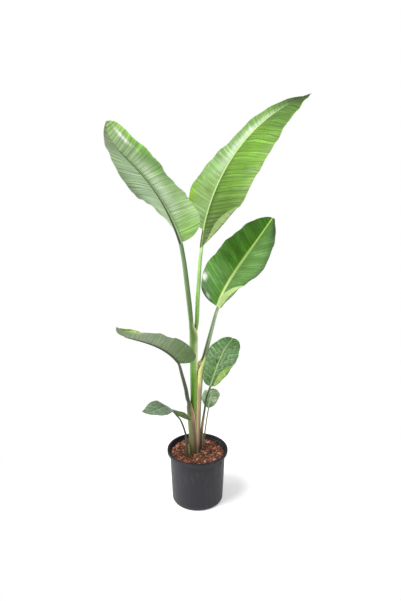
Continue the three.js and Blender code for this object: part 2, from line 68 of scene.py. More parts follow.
# 0 up to a start and 1 a stretch past it, eased between
def easeUp(value, start, stretch):
    return smooth((value - start) / stretch)


# Vectors divided by their own lengths
def unit(vectors):
    return vectors / np.maximum(np.linalg.norm(vectors, axis=-1, keepdims=True), 1e-12)


# Colour a where the share is 0 and colour b where it is 1
def mix(a, b, share):
    share = share[..., None]
    return a * (1 - share) + b * share


# Evenly spaced values read at a share of the way along, averaged over a short stretch either side,
# so that a change of slope leaves no crease
def softAlong(values, share, reach=0.1):
    places = np.linspace(0.0, 1.0, len(values))
    offsets = np.linspace(-reach, reach, 9)
    share = np.asarray(share, float)
    return sum(np.interp(share + offset, places, values) for offset in offsets) / len(offsets)


# Values at stations 0, 1, 2 and on, read between them on a cubic whose slopes never overshoot
def easedAlong(place, values):
    values = np.asarray(values, float)
    slopes = np.diff(values)
    before, after = slopes[:-1], slopes[1:]
    same = before * after > 0
    mean = np.where(same, 2 * before * after / np.where(same, before + after, 1.0), 0.0)
    tangents = np.concatenate([slopes[:1], mean, slopes[-1:]])
    first = np.clip(np.floor(place).astype(int), 0, len(slopes) - 1)
    share = np.clip(place - first, 0.0, 1.0)
    square, cube = share**2, share**3
    leaving = (2 * cube - 3 * square + 1) * values[first] + (cube - 2 * square + share) * tangents[first]
    return leaving + (3 * square - 2 * cube) * values[first + 1] + (cube - square) * tangents[first + 1]


# Screen colour to the linear colour that a shader takes: c/12.92 low down, ((c+0.055)/1.055)^2.4 above
def linear(colour):
    share = np.asarray(colour, float) / 255.0
    return np.where(share <= 0.04045, share / 12.92, ((share + 0.055) / 1.055) ** 2.4)


# The same with a full fourth value, as sockets want it
def rgba(colour):
    return (*linear(colour).tolist(), 1.0)


# Sum of four seeded sines of a place, between about -1 and 1
def waver(place, seed, wavelength):
    draw = np.random.default_rng(seed)
    total = 0.0
    for k in range(4):
        length = wavelength / (1.0 + 0.7 * k)
        total = total + np.sin(2 * np.pi * (place / length + draw.random())) / (1.0 + k)
    return total / 1.6


# Puts whole arrays into a mesh: points in millimetres, faces of three or four corners, and any
# attributes, each one value, vector or colour for every point
def meshPiece(name, points, faces, material, attributes=None, merge=True, creaseAngle=50.0):
    mesh = bpy.data.meshes.new(name)
    points = np.asarray(points, np.float32) * mm
    faces = np.asarray(faces, np.int32)
    mesh.vertices.add(len(points))
    mesh.vertices.foreach_set("co", points.ravel())
    mesh.loops.add(faces.size)
    mesh.loops.foreach_set("vertex_index", faces.ravel())
    mesh.polygons.add(len(faces))
    mesh.polygons.foreach_set("loop_start", np.arange(len(faces), dtype=np.int32) * faces.shape[1])
    mesh.update(calc_edges=True)
    kinds = {1: ("FLOAT", "value"), 3: ("FLOAT_VECTOR", "vector"), 4: ("FLOAT_COLOR", "color")}
    for key, values in (attributes or {}).items():
        values = np.asarray(values, np.float32)
        kind, field = kinds[values.shape[1] if values.ndim > 1 else 1]
        mesh.attributes.new(key, kind, "POINT").data.foreach_set(field, values.ravel())
    if merge:
        work = bmesh.new()
        work.from_mesh(mesh)
        bmesh.ops.remove_doubles(work, verts=work.verts, dist=2e-6)
        bmesh.ops.recalc_face_normals(work, faces=work.faces)
        work.to_mesh(mesh)
        work.free()
    mesh.validate()
    mesh.polygons.foreach_set("use_smooth", np.ones(len(mesh.polygons), bool))
    mesh.set_sharp_from_angle(angle=math.radians(creaseAngle))
    mesh.materials.append(material)
    piece = bpy.data.objects.new(name, mesh)
    scene.collection.objects.link(piece)
    return piece


# Quads between neighbouring rings of a grid whose rings close on themselves
def ringQuads(rings, count):
    i, j = np.meshgrid(np.arange(rings - 1), np.arange(count), indexing="ij")
    a = i * count + j
    b = i * count + (j + 1) % count
    return np.stack([a, b, b + count, a + count], -1).reshape(-1, 4)


# Rides the piece on the root and hides what it replaces; its slot is not used
def finish(piece, slot, *nodes):
    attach(piece, "root")
    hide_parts(*nodes)


# Feeds a socket from another one, or sets it to a plain value
def feed(tree, socket, value):
    if isinstance(value, bpy.types.NodeSocket):
        tree.links.new(value, socket)
    else:
        socket.default_value = value


# A node with its options set and its inputs fed
def addNode(tree, kind, inputs=None, **settings):
    node = tree.nodes.new("ShaderNode" + kind)
    for key, value in settings.items():
        setattr(node, key, value)
    for key, value in (inputs or {}).items():
        feed(tree, node.inputs[key], value)
    return node


# One calculation on a number or on two, each of them plain or a socket
def maths(tree, operation, a, b=0.0):
    return addNode(tree, "Math", {0: a, 1: b}, operation=operation).outputs[0]


# Product of two numbers
def times(tree, a, b):
    return maths(tree, "MULTIPLY", a, b)


# A range of values moved to another, eased at both ends and held past them
def remap(tree, value, low, high, newLow=0.0, newHigh=1.0, kind="SMOOTHSTEP"):
    inputs = {"Value": value, "From Min": low, "From Max": high, "To Min": newLow, "To Max": newHigh}
    return addNode(tree, "MapRange", inputs, interpolation_type=kind).outputs["Result"]


# The usual range of a noise, spread evenly over a new range
def spread(tree, value, low, high):
    return remap(tree, value, 0.3, 0.7, low, high, "LINEAR")


# Colour a where the share is 0 and colour b, or their product, where it is 1
def blend(tree, share, a, b, kind="MIX"):
    return addNode(tree, "Mix", {0: share, 6: a, 7: b}, data_type="RGBA", blend_type=kind).outputs[2]


# A colour times one number
def scaled(tree, colour, factor):
    return addNode(tree, "VectorMath", {0: colour, "Scale": factor}, operation="SCALE").outputs[0]


# A place times a factor for each axis
def stretched(tree, place, factors):
    return addNode(tree, "VectorMath", {0: place, 1: factors}, operation="MULTIPLY").outputs[0]


# Lighter and darker copies of a colour: times 1 - amount where a noise is low, 1 + amount where it is high
def shade(tree, colour, value, amount):
    return scaled(tree, colour, spread(tree, value, 1 - amount, 1 + amount))


# Fractal noise of a place, mostly between 0.3 and 0.7
def noise(tree, place, scale, detail, roughness=0.6, distortion=0.0):
    inputs = {"Vector": place, "Scale": scale, "Detail": detail, "Roughness": roughness,
              "Distortion": distortion}
    return addNode(tree, "TexNoise", inputs).outputs["Fac"]


# What is stored on the points of a mesh under a name
def painted(tree, name):
    return addNode(tree, "Attribute", attribute_name=name).outputs


# Place on a piece, in the piece's own metres
def objectPlace(tree):
    return addNode(tree, "TexCoord").outputs["Object"]


# Normal tilted by the slope of a height
def bump(tree, height, strength, distance):
    return addNode(tree, "Bump", {"Height": height, "Strength": strength, "Distance": distance}).outputs[0]


# A node group that takes a place and numbers, with the outputs that its pattern function returns by name
def newGroup(name, numbers, pattern):
    group = bpy.data.node_groups.new(name, "ShaderNodeTree")
    group.interface.new_socket("Place", in_out="INPUT", socket_type="NodeSocketVector")
    for label, value in numbers.items():
        group.interface.new_socket(label, in_out="INPUT", socket_type="NodeSocketFloat").default_value = value
    made = pattern(group, group.nodes.new("NodeGroupInput").outputs)
    for label in made:
        group.interface.new_socket(label, in_out="OUTPUT", socket_type="NodeSocketFloat")
    leave = group.nodes.new("NodeGroupOutput")
    for label, socket in made.items():
        group.links.new(socket, leave.inputs[label])
    return group


# Leaf surface in the blade's own coordinates (vein metres, reach metres): fine parallel veins with a few
# stronger ones, and noises for mottling, cells and swellings
def leafVeins(group, given):
    flat = stretched(group, given["Place"], (1.0, 1.0, 0.0))
    vein, reach, _ = addNode(group, "SeparateXYZ", {0: given["Place"]}).outputs
    drift = noise(group, flat, scale=16.0, detail=2.0, roughness=0.5)
    moved = maths(group, "ADD", vein, times(group, drift, 0.006))
    fine = maths(group, "SINE", times(group, moved, given["Fine"]))
    drawnOut = addNode(group, "CombineXYZ", {"X": times(group, moved, given["Coarse"]),
                                             "Y": times(group, reach, 2.5), "Z": given["Seed"]}).outputs[0]
    coarse = noise(group, drawnOut, scale=1.0, detail=3.0)
    squat = stretched(group, given["Place"], (1.0, 0.6, 0.0))
    return {"Height": maths(group, "ADD", times(group, fine, 0.25), coarse),
            "Lines": remap(group, coarse, 0.42, 0.66),
            "Cells": noise(group, given["Place"], scale=420.0, detail=2.0),
            "Mottle": noise(group, squat, scale=24.0, detail=4.0, roughness=0.55),
            "Pucker": noise(group, flat, scale=95.0, detail=1.0, roughness=0.4, distortion=0.6)}


# Long fibres: noise drawn out along the second coordinate, with flecks and broad patches
def longFibres(group, given):
    around, along, seed = addNode(group, "SeparateXYZ", {0: given["Place"]}).outputs
    drawnOut = addNode(group, "CombineXYZ", {"X": times(group, around, given["Across"]),
                                             "Y": times(group, along, given["Along"]), "Z": seed}).outputs[0]
    return {"Streak": noise(group, drawnOut, scale=1.0, detail=4.0),
            "Fleck": noise(group, given["Place"], scale=260.0, detail=3.0, roughness=0.65),
            "Patch": noise(group, given["Place"], scale=22.0, detail=3.0, roughness=0.5)}


# Grain: three sizes of noise on the piece's own coordinates
def threeGrains(group, given):
    sizes = {"Fine": (1.0, 4.0), "Middle": (0.16, 5.0), "Broad": (0.03, 3.0)}
    return {label: noise(group, given["Place"], times(group, given["Scale"], factor), detail)
            for label, (factor, detail) in sizes.items()}


veinGroup = newGroup("leaf veins", {"Fine": 900.0, "Coarse": 160.0, "Seed": 0.0}, leafVeins)
fibreGroup = newGroup("long fibres", {"Across": 900.0, "Along": 12.0}, longFibres)
grainGroup = newGroup("grain", {"Scale": 400.0}, threeGrains)


# One of these groups placed in a material with its own numbers
def useGroup(tree, group, place, **numbers):
    return addNode(tree, "Group", {"Place": place, **numbers}, node_tree=group).outputs


# A material, its tree and its shader
def newMaterial(name):
    material = bpy.data.materials.new(name)
    material.use_nodes = True
    return material, material.node_tree, material.node_tree.nodes["Principled BSDF"]


# Feeds the inputs of a shader by name
def feedShader(tree, shader, inputs):
    for label, value in inputs.items():
        feed(tree, shader.inputs[label], value)


# Makes the last shader of a material and sends it to the output
def showSurface(tree, kind, inputs):
    tree.links.new(addNode(tree, kind, inputs).outputs[0], tree.nodes["Material Output"].inputs["Surface"])


# Finish of a blade; a leaf gives what differs from this
bladeLook = {
    "fine": 1300.0, "coarse": 150.0,                              # pace of the fine and the strong veins
    "mottle": 0.2, "lines": 0.2, "cells": 0.07, "pucker": 0.06,   # how far each lightens and darkens
    # relief: painted light and shade along the pleats of the mesh
    "relief": 0.1,                                                # the same for the pleats of the mesh
    "crease": [-0.2, -0.2],                                       # light added in it, minus and plus half
    "creaseWidth": 0.2, "creaseSink": 0.8, "swell": 12.0, "bump": 0.5, "bumpDepth": 0.0006,
    "roughAbove": 0.4, "roughUnder": 0.5, "uneven": 0.25, "specular": 0.4, "coat": 0.08, "coatRough": 0.3,
    "through": (200, 225, 110), "passing": 0.15,                  # tint and share of the light let past
}

stalkLook = {
    "across": 900.0, "along": 9.0, "streak": 0.16, "patch": 0.1, "fleck": 0.06, "bump": 0.5,
    "bumpDepth": 0.0006, "rough": [0.35, 0.5], "specular": 0.35,
}


# Blade: its own tint, veins and mottling, its own gloss above and below, with light coming through.
# Rays that meet a wall from inside pass, so the two faces act as one thin leaf.
def bladeMaterial(name, look, seed):
    material, tree, shader = newMaterial(name)
    place = painted(tree, "leafPlace")["Vector"]
    tint = painted(tree, "tint")
    veins = useGroup(tree, veinGroup, place, Fine=look["fine"], Coarse=look["coarse"], Seed=seed)
    colour = tint["Color"]
    for pattern in ("Mottle", "Lines", "Cells", "Pucker"):
        colour = shade(tree, colour, veins[pattern], look[pattern.lower()])
    turn = maths(tree, "FRACT", painted(tree, "pace")["Fac"])
    aside = maths(tree, "ABSOLUTE", maths(tree, "SUBTRACT", turn, 0.5))
    crease = times(tree, remap(tree, aside, 0.0, look["creaseWidth"], 1.0, 0.0),
                   remap(tree, veins["Mottle"], 0.35, 0.6, 0.35, 1.0))
    reach = addNode(tree, "SeparateXYZ", {0: place}).outputs[1]
    depth = times(tree, crease, remap(tree, reach, -0.001, 0.001, *look["crease"]))
    creased = scaled(tree, colour, maths(tree, "ADD", depth, 1.0))
    colour = blend(tree, tint["Alpha"], tint["Color"], creased)
    above = painted(tree, "above")["Fac"]
    rough = maths(tree, "ADD", remap(tree, above, 0.2, 0.8, look["roughUnder"], look["roughAbove"]),
                  times(tree, maths(tree, "SUBTRACT", veins["Mottle"], 0.5), look["uneven"]))
    swelling = maths(tree, "SUBTRACT", times(tree, veins["Pucker"], look["swell"] * look["pucker"]),
                     times(tree, crease, look["creaseSink"]))
    height = maths(tree, "ADD", veins["Height"], swelling)
    feedShader(tree, shader, {
        "Base Color": colour, "Roughness": rough, "Specular IOR Level": look["specular"],
        "Coat Weight": look["coat"], "Coat Roughness": look["coatRough"],
        "Normal": bump(tree, height, look["bump"], look["bumpDepth"])})
    through = addNode(tree, "BsdfTranslucent", {
        "Color": blend(tree, 1.0, colour, rgba(look["through"]), "MULTIPLY")}).outputs[0]
    leaf = addNode(tree, "MixShader", {0: look["passing"], 1: shader.outputs[0], 2: through}).outputs[0]
    inside = addNode(tree, "NewGeometry").outputs["Backfacing"]
    showSurface(tree, "MixShader", {0: inside, 1: leaf, 2: addNode(tree, "BsdfTransparent").outputs[0]})
    return material


# Stalk: its painted tint, streaked along its fibres
def stalkMaterial(name, look):
    material, tree, shader = newMaterial(name)
    fibres = useGroup(tree, fibreGroup, painted(tree, "stalkPlace")["Vector"], Across=look["across"],
                      Along=look["along"])
    colour = painted(tree, "tint")["Color"]
    for pattern in ("Streak", "Patch", "Fleck"):
        colour = shade(tree, colour, fibres[pattern], look[pattern.lower()])
    feedShader(tree, shader, {
        "Base Color": colour, "Roughness": spread(tree, fibres["Patch"], *look["rough"]),
        "Normal": bump(tree, fibres["Streak"], look["bump"], look["bumpDepth"]),
        "Specular IOR Level": look["specular"]})
    return material


bladeBuild = {
    "thickness": 0.8, "thinned": 0.45,    # share of the thickness lost at the margin
    "columns": 34, "hemColumns": 16,
    "crowding": 1.25,                     # power that crowds rows to the joint and columns to the midrib
    "sweep": 1.6,                         # power of the share out by which a row leans along the rib
    "channel": [6.0, 1.6],                # half width of the groove over the midrib, at the joint and tip
    "sunk": 0.8, "sunkLeft": 0.3,         # its depth, and the share of that left at the tip
    "turnFrom": 0.25, "turnOver": 0.4,    # how early a hem turns and how fast, in shares of its width
    "wander": [0.5, 150],                 # pleats drift by this share of their pitch, over this length
    "uneven": [0.3, 130],                 # and grow and fade by this, over this length
    "overtone": [0.35, 2.3],              # height and pace of the smaller pleats between
    "pleatFrom": 12,                      # width beside the midrib over which pleats rise
    "lip": [0.7, 55],                     # height and length of the waver along the margin
    "inset": 0.05,                        # kept inside the box of the solids
}

stalkBuild = {
    "foot": 140,                          # height of the end hidden in the soil, as thick as the first ring
    "step": 7.0, "outerPoints": 40, "innerPoints": 22,
    "keelEnd": 0.84, "keelTip": 0.16,     # where the keel stops along the rib, and how slim it gets
    "keelGap": 0.6, "cadThickness": 1.2,  # clearance under the blade, and the blade of the solids
    "round": 0.86, "thinned": 0.3, "rolled": 0.25,    # where the lips start, how they thin and turn in
    "fibre": 0.12, "fibres": 46, "fibreDrift": [0.3, 300],
    "spread": 0.008,                      # metres of fibre pattern for each radian round the stalk
    "bandFade": 24,                       # length over which a band starts and ends
}

# The bundle of nested sheaths leans a little; height, x, y of its axis
bundle = np.array([
    [140, -8, 6], [198, -8, 6], [247, -10, 8], [302, -11.5, 10], [356, -12, 13],
    [399, -12, 15], [445, -12.3, 17], [500, -12.6, 18], [600, -13, 17.5], [690, -13, 16],
])

# What a leaf and each half of its blade have where they say nothing else
plainLeaf = {"slot": "blade_deep", "patchAbove": True, "lineFades": 1, "bands": []}
plainHalf = {
    "start": 0.0, "sharp": 2.2, "blunt": 0.7, "slant": 0.3, "lobeEnd": 0.3, "early": 1, "veins": [0.5, 0],
    "hem": [0, 1, 0], "patches": [],
}

# Each leaf: rib as four control points; ridge as height, count, pleat height and pleat pitch; keel as inner
# radius and wall; rings of the stalk as height, x, y (0, 0 is on the bundle's axis), inner radius, back wall,
# margin wall and half of the arc that the wall spans. Roll, fold, curl, midrib tints and line width run from
# joint to tip, and keel tints from the minus side to the plus side. A wave is height, length and phase, and
# veins are their slope and its bend. A hem is its width, where it ends along the rib, and its turn. A patch
# is share along, share out, its two sizes, colour and strength. A band is place round the stalk, its reach,
# the heights it runs between, colour and strength.
# Some patches are painted sheen, highlights or shade; each is noted where it stands.
leaf1 = {
    "slot": "blade_bright", "rows": 260, "cadRows": 40,
    "rib": [[-58, -15, 1088], [-141, -225, 1438], [-284, -323, 1450], [-275, -268, 1551]],
    "roll": [0, 15, 13], "ridge": [1.6, 10, 0.7, 19],
    "plus": {
        "width": 81, "fold": [33, -2, 24], "curl": [11, -33, 29], "round": 0.4, "taper": 0.57, "slant": 0.15,
        "lobe": 26, "lobeEnd": 0.26, "wave": [1.5, 150, 20], "veins": [0.6, 0], "pitch": 14,
        "patches": [
            [0.5, 0.5, 0.4, 0.7, (178, 198, 174), 0.7], [0.12, 0.5, 0.14, 0.8, (168, 192, 146), 0.6],
            [0.95, 0.5, 0.18, 0.9, (74, 96, 56), 0.9], [0.4, 0.98, 0.3, 0.24, (98, 120, 102), 0.75],
        ],
    },
    "minus": {
        "width": 118, "fold": [33, 5, 13], "curl": [7, -34, -33], "round": 0.39, "taper": 0.51, "sharp": 3,
        "blunt": 0.6, "slant": 0.17, "lobe": 11, "lobeEnd": 0.32, "wave": [3, 170, 200], "veins": [0.4, 0.1],
        "patches": [
            # The first patch here, the silvery band beside the midrib, is painted sheen.
            [0.45, 0.2, 0.5, 0.24, (196, 214, 190), 0.75], [0.72, 0.85, 0.2, 0.36, (70, 126, 14), 0.95],
            [0.35, 0.75, 0.2, 0.35, (136, 172, 104), 0.5], [0.1, 0.6, 0.14, 0.7, (168, 218, 114), 0.8],
            [0.28, 0.9, 0.14, 0.4, (196, 230, 168), 0.7], [0.93, 1.0, 0.08, 0.32, (132, 182, 42), 1.0],
            # The first patch here, the near-white stroke near the tip, is a painted highlight.
            [0.895, 0.56, 0.07, 0.1, (250, 255, 246), 0.95], [0.8, 0.2, 0.08, 0.3, (126, 160, 100), 0.6],
            [0.98, 0.3, 0.06, 0.5, (120, 150, 84), 0.8], [0.82, 0.95, 0.1, 0.3, (116, 186, 30), 0.85],
        ],
    },
    "keel": [2.4, 5.6],
    "rings": [
        [198, 0, 0, 9.9, 4.1, 3.4, 150], [247, 0, 0, 10, 4.2, 3.4, 150], [302, 0, 0, 10.1, 4.3, 3.4, 150],
        [399, 0, 0, 10.3, 4.6, 3.6, 150], [600, 0, 0, 10.6, 5, 3.8, 150], [690, 0, 0, 11, 5.6, 4, 150],
        [715, -13.3, 15, 11.2, 5.6, 4, 132], [740, -14.5, 10.5, 11, 5.5, 3.8, 93],
        [757, -18.5, 8, 8, 6, 3.6, 84], [770, -21, 6.5, 4.8, 6.2, 4, 100], [785, -23, 5, 3.6, 6.4, 5.2, 118],
        [847, -28.8, 2, 3.4, 6.8, 5.8, 122], [918, -36.2, -2.5, 3.4, 6.6, 5.8, 122],
        [1011, -46.3, -8.5, 3, 6.3, 5.5, 118],
    ],
    "upper": (120, 165, 70), "under": (138, 172, 106), "margin": (160, 184, 116), "patchAbove": False,
    # Leaf 1's keel tints: pale at the minus edge, then near black over the rest, the keel's own olive
    # deepened into painted shade.
    "midrib": [(92, 108, 52), (96, 120, 60)], "line": [5, 1.6], "keelTint": [(166, 196, 140), (34, 46, 14)],
    "stalkTints": [
        [140, (86, 84, 60)], [330, (82, 118, 22)], [450, (70, 128, 4)], [600, (78, 130, 14)],
        [690, (96, 134, 56)], [730, (96, 126, 60)], [900, (104, 134, 80)], [1090, (112, 142, 94)],
    ],
    "bands": [
        [-0.72, 0.36, 550, 700, (226, 238, 190), 0.95], [-0.76, 0.32, 280, 570, (214, 228, 112), 0.9],
        [0.3, 0.16, 400, 740, (54, 76, 32), 0.8], [-0.4, 0.12, 300, 620, (112, 160, 44), 0.7],
        [-0.9, 0.4, 790, 1100, (84, 104, 62), 0.7], [-0.95, 0.4, 650, 780, (222, 232, 168), 0.9],
    ],
    "marginTint": (226, 234, 176), "insideTint": (150, 170, 100),
    "look": {"mottle": 0.16, "pucker": 0.04, "lines": 0.18, "relief": 0.09, "crease": [-0.36, -0.8],
             "creaseWidth": 0.24, "roughUnder": 0.46, "coat": 0.06, "coatRough": 0.25,
             "through": (205, 230, 120), "passing": 0.30},
}

leaf2 = {
    "slot": "blade_bright", "rows": 280, "cadRows": 40,
    "rib": [[14, 15, 1060], [31, 70, 1251], [158, 248, 1472], [401, 249, 1563]],
    "roll": [7, 3, -20], "ridge": [1.8, 10, 1.0, 18],
    "plus": {
        "width": 165, "fold": [23, 11, 30], "curl": [-45, -34, -19], "round": 0.16, "taper": 0.6,
        "slant": 0.8, "lobe": 36, "lobeEnd": 0.35, "early": 0.45, "wave": [2, 150, 200],
        "veins": [0.08, 0.12], "hem": [26, 0.1, 150],
        "patches": [
            # Painted shade: the patch 0.24 along in the groove beside the midrib, the one 0.06 along beside
            # the turned hem, and the one 0.34 along near the midrib.
            [0.24, 0.04, 0.34, 0.12, (44, 62, 8), 1.0], [0.06, 0.4, 0.3, 0.9, (72, 98, 32), 0.9],
            [0.5, 0.95, 0.3, 0.16, (150, 186, 96), 0.5], [0.34, 0.2, 0.2, 0.3, (88, 122, 46), 0.6],
            [0.5, 0.5, 0.2, 0.6, (128, 176, 62), 0.5], [0.82, 0.5, 0.14, 0.9, (88, 122, 58), 0.8],
            [1.0, 0.5, 0.12, 1.2, (44, 62, 28), 1.0],
        ],
    },
    "minus": {
        "width": 125, "fold": [34, 3, 23], "curl": [-10, -30, -35], "start": 0.085, "round": 0.27,
        "taper": 0.34, "sharp": 1.6, "blunt": 1, "slant": 0.48, "lobe": 18, "lobeEnd": 0.26,
        "wave": [2, 160, 0], "veins": [0.35, 0],
        "patches": [
            # Both patches here are painted sheen: a broad silvery grey-green over this half and a paler band
            # beside the midrib.
            [0.35, 0.6, 0.45, 0.7, (146, 178, 124), 0.8], [0.62, 0.16, 0.26, 0.26, (208, 226, 200), 0.9],
            [0.3, 0.2, 0.12, 0.3, (120, 156, 66), 0.7], [0.12, 0.4, 0.14, 0.5, (120, 146, 92), 0.8],
            [0.2, 0.98, 0.16, 0.45, (118, 160, 10), 1.0], [0.98, 0.5, 0.14, 1.2, (44, 64, 26), 1.0],
        ],
    },
    "keel": [2.2, 4.7],
    "rings": [
        [198, 0, 0, 2.6, 6.5, 5.8, 130], [247, 0, 0, 2.6, 6.6, 5.8, 130], [302, 0, 0, 2.6, 6.6, 5.8, 130],
        [399, 0, 0, 2.6, 6.8, 6, 130], [600, 0, 0, 2.6, 6.8, 6, 130], [690, 0, 0, 2.6, 6.4, 5.6, 130],
        [715, -11.5, 16.5, 2.6, 6.1, 5.4, 130], [740, -6.5, 18.5, 2.6, 6, 5.3, 130],
        [765, -3, 19.5, 2.9, 6, 5.4, 128], [799, -1.8, 19, 3.2, 6.2, 5.6, 126],
        [847, -0.2, 18, 3.2, 6, 5.4, 124], [918, 4, 17, 3, 5.7, 5.2, 122], [1011, 9.5, 16, 2.7, 5, 4.6, 118],
    ],
    "upper": (114, 156, 58), "under": (148, 182, 106), "hemTint": (168, 194, 124), "margin": (142, 164, 86),
    "midrib": [(184, 212, 134), (214, 238, 146)], "line": [5, 5], "lineFades": 0.68,
    "keelTint": [(84, 100, 40), (176, 204, 130)],
    "stalkTints": [[140, (96, 92, 60)], [700, (110, 150, 60)], [760, (140, 190, 84)], [900, (190, 230, 146)],
                   [1060, (196, 230, 166)]],
    "bands": [[0.7, 0.4, 720, 1060, (128, 168, 84), 0.6]],
    "marginTint": (180, 205, 130), "insideTint": (150, 180, 100),
    "look": {"pucker": 0.04, "lines": 0.16, "crease": [-0.12, -0.55], "creaseWidth": 0.16, "roughAbove": 0.5,
             "coat": 0.04, "through": (205, 232, 120), "passing": 0.26},
}

leaf3 = {
    "rows": 220, "cadRows": 36,
    "rib": [[77, 55, 811], [101, 62, 912], [200, 137, 1003], [285, 185, 1121]],
    "roll": [1, 13, -10], "ridge": [1.4, 9, 0.5, 16],
    "plus": {
        "width": 105, "fold": [26, 8, 17], "curl": [-10, -24, -3], "round": 0.44, "taper": 0.58, "sharp": 2.4,
        "lobe": 23, "lobeEnd": 0.18, "early": 0.75, "wave": [2.5, 130, 90], "veins": [0.55, 0], "pitch": 10,
        "hem": [30, 0.22, 160],
        "patches": [
            # The second patch here, dark near the joint beside the turned hem, is painted shade.
            [0.5, 0.45, 0.45, 0.7, (140, 190, 110), 0.85], [0.1, 0.4, 0.1, 0.6, (74, 104, 56), 0.7],
            [0.9, 1.0, 0.22, 0.3, (38, 66, 38), 0.9], [0.5, 1.0, 0.4, 0.14, (74, 108, 70), 0.7],
        ],
    },
    "minus": {
        "width": 122, "fold": [27, 14, 13], "curl": [-1, -19, -4], "round": 0.26, "taper": 0.44, "sharp": 2.4,
        "lobe": 24, "early": 0.7, "wave": [3.5, 110, 40],
        "patches": [
            [0.1, 0.8, 0.12, 0.5, (60, 105, 45), 0.6], [0.45, 0.1, 0.3, 0.3, (92, 148, 40), 0.6],
            # The two white patches here are painted highlights, glints on the edge of the lobe.
            [0.2, 0.9, 0.032, 0.11, (255, 255, 255), 1.0], [0.06, 0.72, 0.02, 0.1, (250, 255, 250), 0.9],
            [0.05, 1.0, 0.12, 0.4, (40, 66, 40), 0.9],
        ],
    },
    "keel": [2.2, 4.5],
    "rings": [
        [198, 0, 0, 14.9, 6, 2.4, 87], [247, 0, 0, 15, 8, 2.6, 85], [302, 0, 0, 15.3, 9, 2.8, 88],
        [356, -11.2, 13.5, 15.7, 10, 3, 96.5], [399, -10.3, 16, 16, 10, 3, 97],
        [445, -8.9, 19.2, 16, 10.5, 3, 97], [500, -6.6, 21.7, 16, 11.5, 3, 99],
        [540, -4, 22.1, 15.8, 11.5, 3, 103], [567, -0.5, 22.8, 15, 11, 3, 104],
        [583, 6.5, 25.2, 12.4, 10, 3, 100], [597, 16, 28.9, 7, 8.5, 3.5, 98],
        [610, 23.2, 33.5, 3.6, 7.8, 5.4, 112], [641, 32.5, 39, 3.4, 6.8, 5.6, 120],
        [689, 44.5, 44.5, 3.2, 6, 5.2, 120], [735, 56.2, 49.5, 3, 5.4, 4.8, 120],
        [783, 68.4, 53, 2.8, 4.7, 4.2, 118],
    ],
    "upper": (72, 124, 30), "under": (148, 182, 112), "hemTint": (208, 234, 152), "margin": (78, 112, 56),
    "midrib": [(236, 255, 170), (216, 250, 140)], "line": [9, 6], "keelTint": [(120, 150, 80)],
    "stalkTints": [
        [140, (96, 84, 74)], [250, (104, 92, 80)], [330, (124, 116, 88)], [400, (140, 140, 100)],
        [480, (128, 142, 90)], [560, (110, 126, 78)], [620, (104, 122, 82)], [700, (140, 162, 122)],
        [811, (172, 186, 156)],
    ],
    "bands": [[0.9, 0.42, 480, 625, (240, 244, 156), 0.95], [0.9, 0.3, 230, 520, (202, 164, 130), 0.85],
              [0.35, 0.2, 240, 560, (84, 94, 58), 0.8]],
    # The pale inside tint is painted light, standing in for light coming through the sheath wall.
    "marginTint": (232, 212, 158), "insideTint": (252, 250, 190),
    "look": {"coarse": 140.0, "mottle": 0.16, "lines": 0.12, "relief": 0.08, "crease": [1.2, -0.5],
             "creaseWidth": 0.09, "roughAbove": 0.5, "coat": 0.05, "through": (200, 225, 90)},
}

leaf4 = {
    "rows": 200, "cadRows": 28,
    "rib": [[-68, -35, 620], [-148, -86, 762], [-301, -181, 769], [-282, -168, 825]],
    "roll": [-12, 4, -9], "ridge": [1.2, 7, 0.3, 17],
    "plus": {
        "width": 46, "fold": [40, 33, 47], "curl": [0, -7, -3], "round": 0.35, "taper": 0.44, "lobe": 25,
        "wave": [2, 100, 0], "patches": [[0.5, 0.5, 0.4, 0.8, (138, 150, 126), 0.6]],
    },
    "minus": {
        "width": 106, "fold": [47, 36, 45], "curl": [18, -8, -7], "round": 0.32, "taper": 0.49, "slant": 0.18,
        "lobe": 42, "lobeEnd": 0.43, "early": 0.6, "wave": [3, 100, 60],
        "patches": [
            [0.86, 0.95, 0.1, 0.3, (178, 206, 98), 0.8], [0.5, 0.3, 0.3, 0.4, (128, 142, 114), 0.6],
            [0.1, 0.8, 0.2, 0.6, (80, 110, 52), 0.8],
        ],
    },
    "keel": [1.8, 3.6],
    "rings": [
        [198, 0, 0, 14.9, 6, 2.4, 89], [247, 0, 0, 15, 8, 2.6, 89], [302, -12.3, 9.5, 15.3, 9, 2.8, 88],
        [356, -14.1, 11.7, 15.8, 10.5, 3, 81], [399, -16.2, 12.3, 16, 11, 3, 68],
        [423, -20, 11.1, 14, 10.5, 3, 56], [436, -26, 7, 8.5, 9.5, 3.2, 66], [449, -33.5, 1, 4, 8, 4.8, 100],
        [498, -42.5, -7, 3.4, 6.2, 5, 118], [560, -55.5, -20, 3, 5.4, 4.4, 120],
    ],
    "upper": (126, 168, 64), "under": (106, 128, 86), "margin": (80, 102, 58), "patchAbove": False,
    "midrib": [(70, 86, 56), (84, 100, 60)], "line": [5, 1.8], "keelTint": [(64, 78, 50), (58, 72, 46)],
    "stalkTints": [[140, (124, 120, 84)], [260, (150, 152, 100)], [340, (110, 126, 70)], [430, (80, 94, 60)],
                   [470, (68, 80, 52)], [620, (72, 86, 56)]],
    "bands": [[-0.72, 0.34, 150, 380, (112, 84, 70), 0.9], [-0.8, 0.3, 340, 430, (170, 124, 98), 0.85]],
    "marginTint": (222, 196, 160), "insideTint": (120, 92, 70),
    "look": {"mottle": 0.12, "lines": 0.15, "relief": 0.06, "roughAbove": 0.35, "passing": 0.18},
}

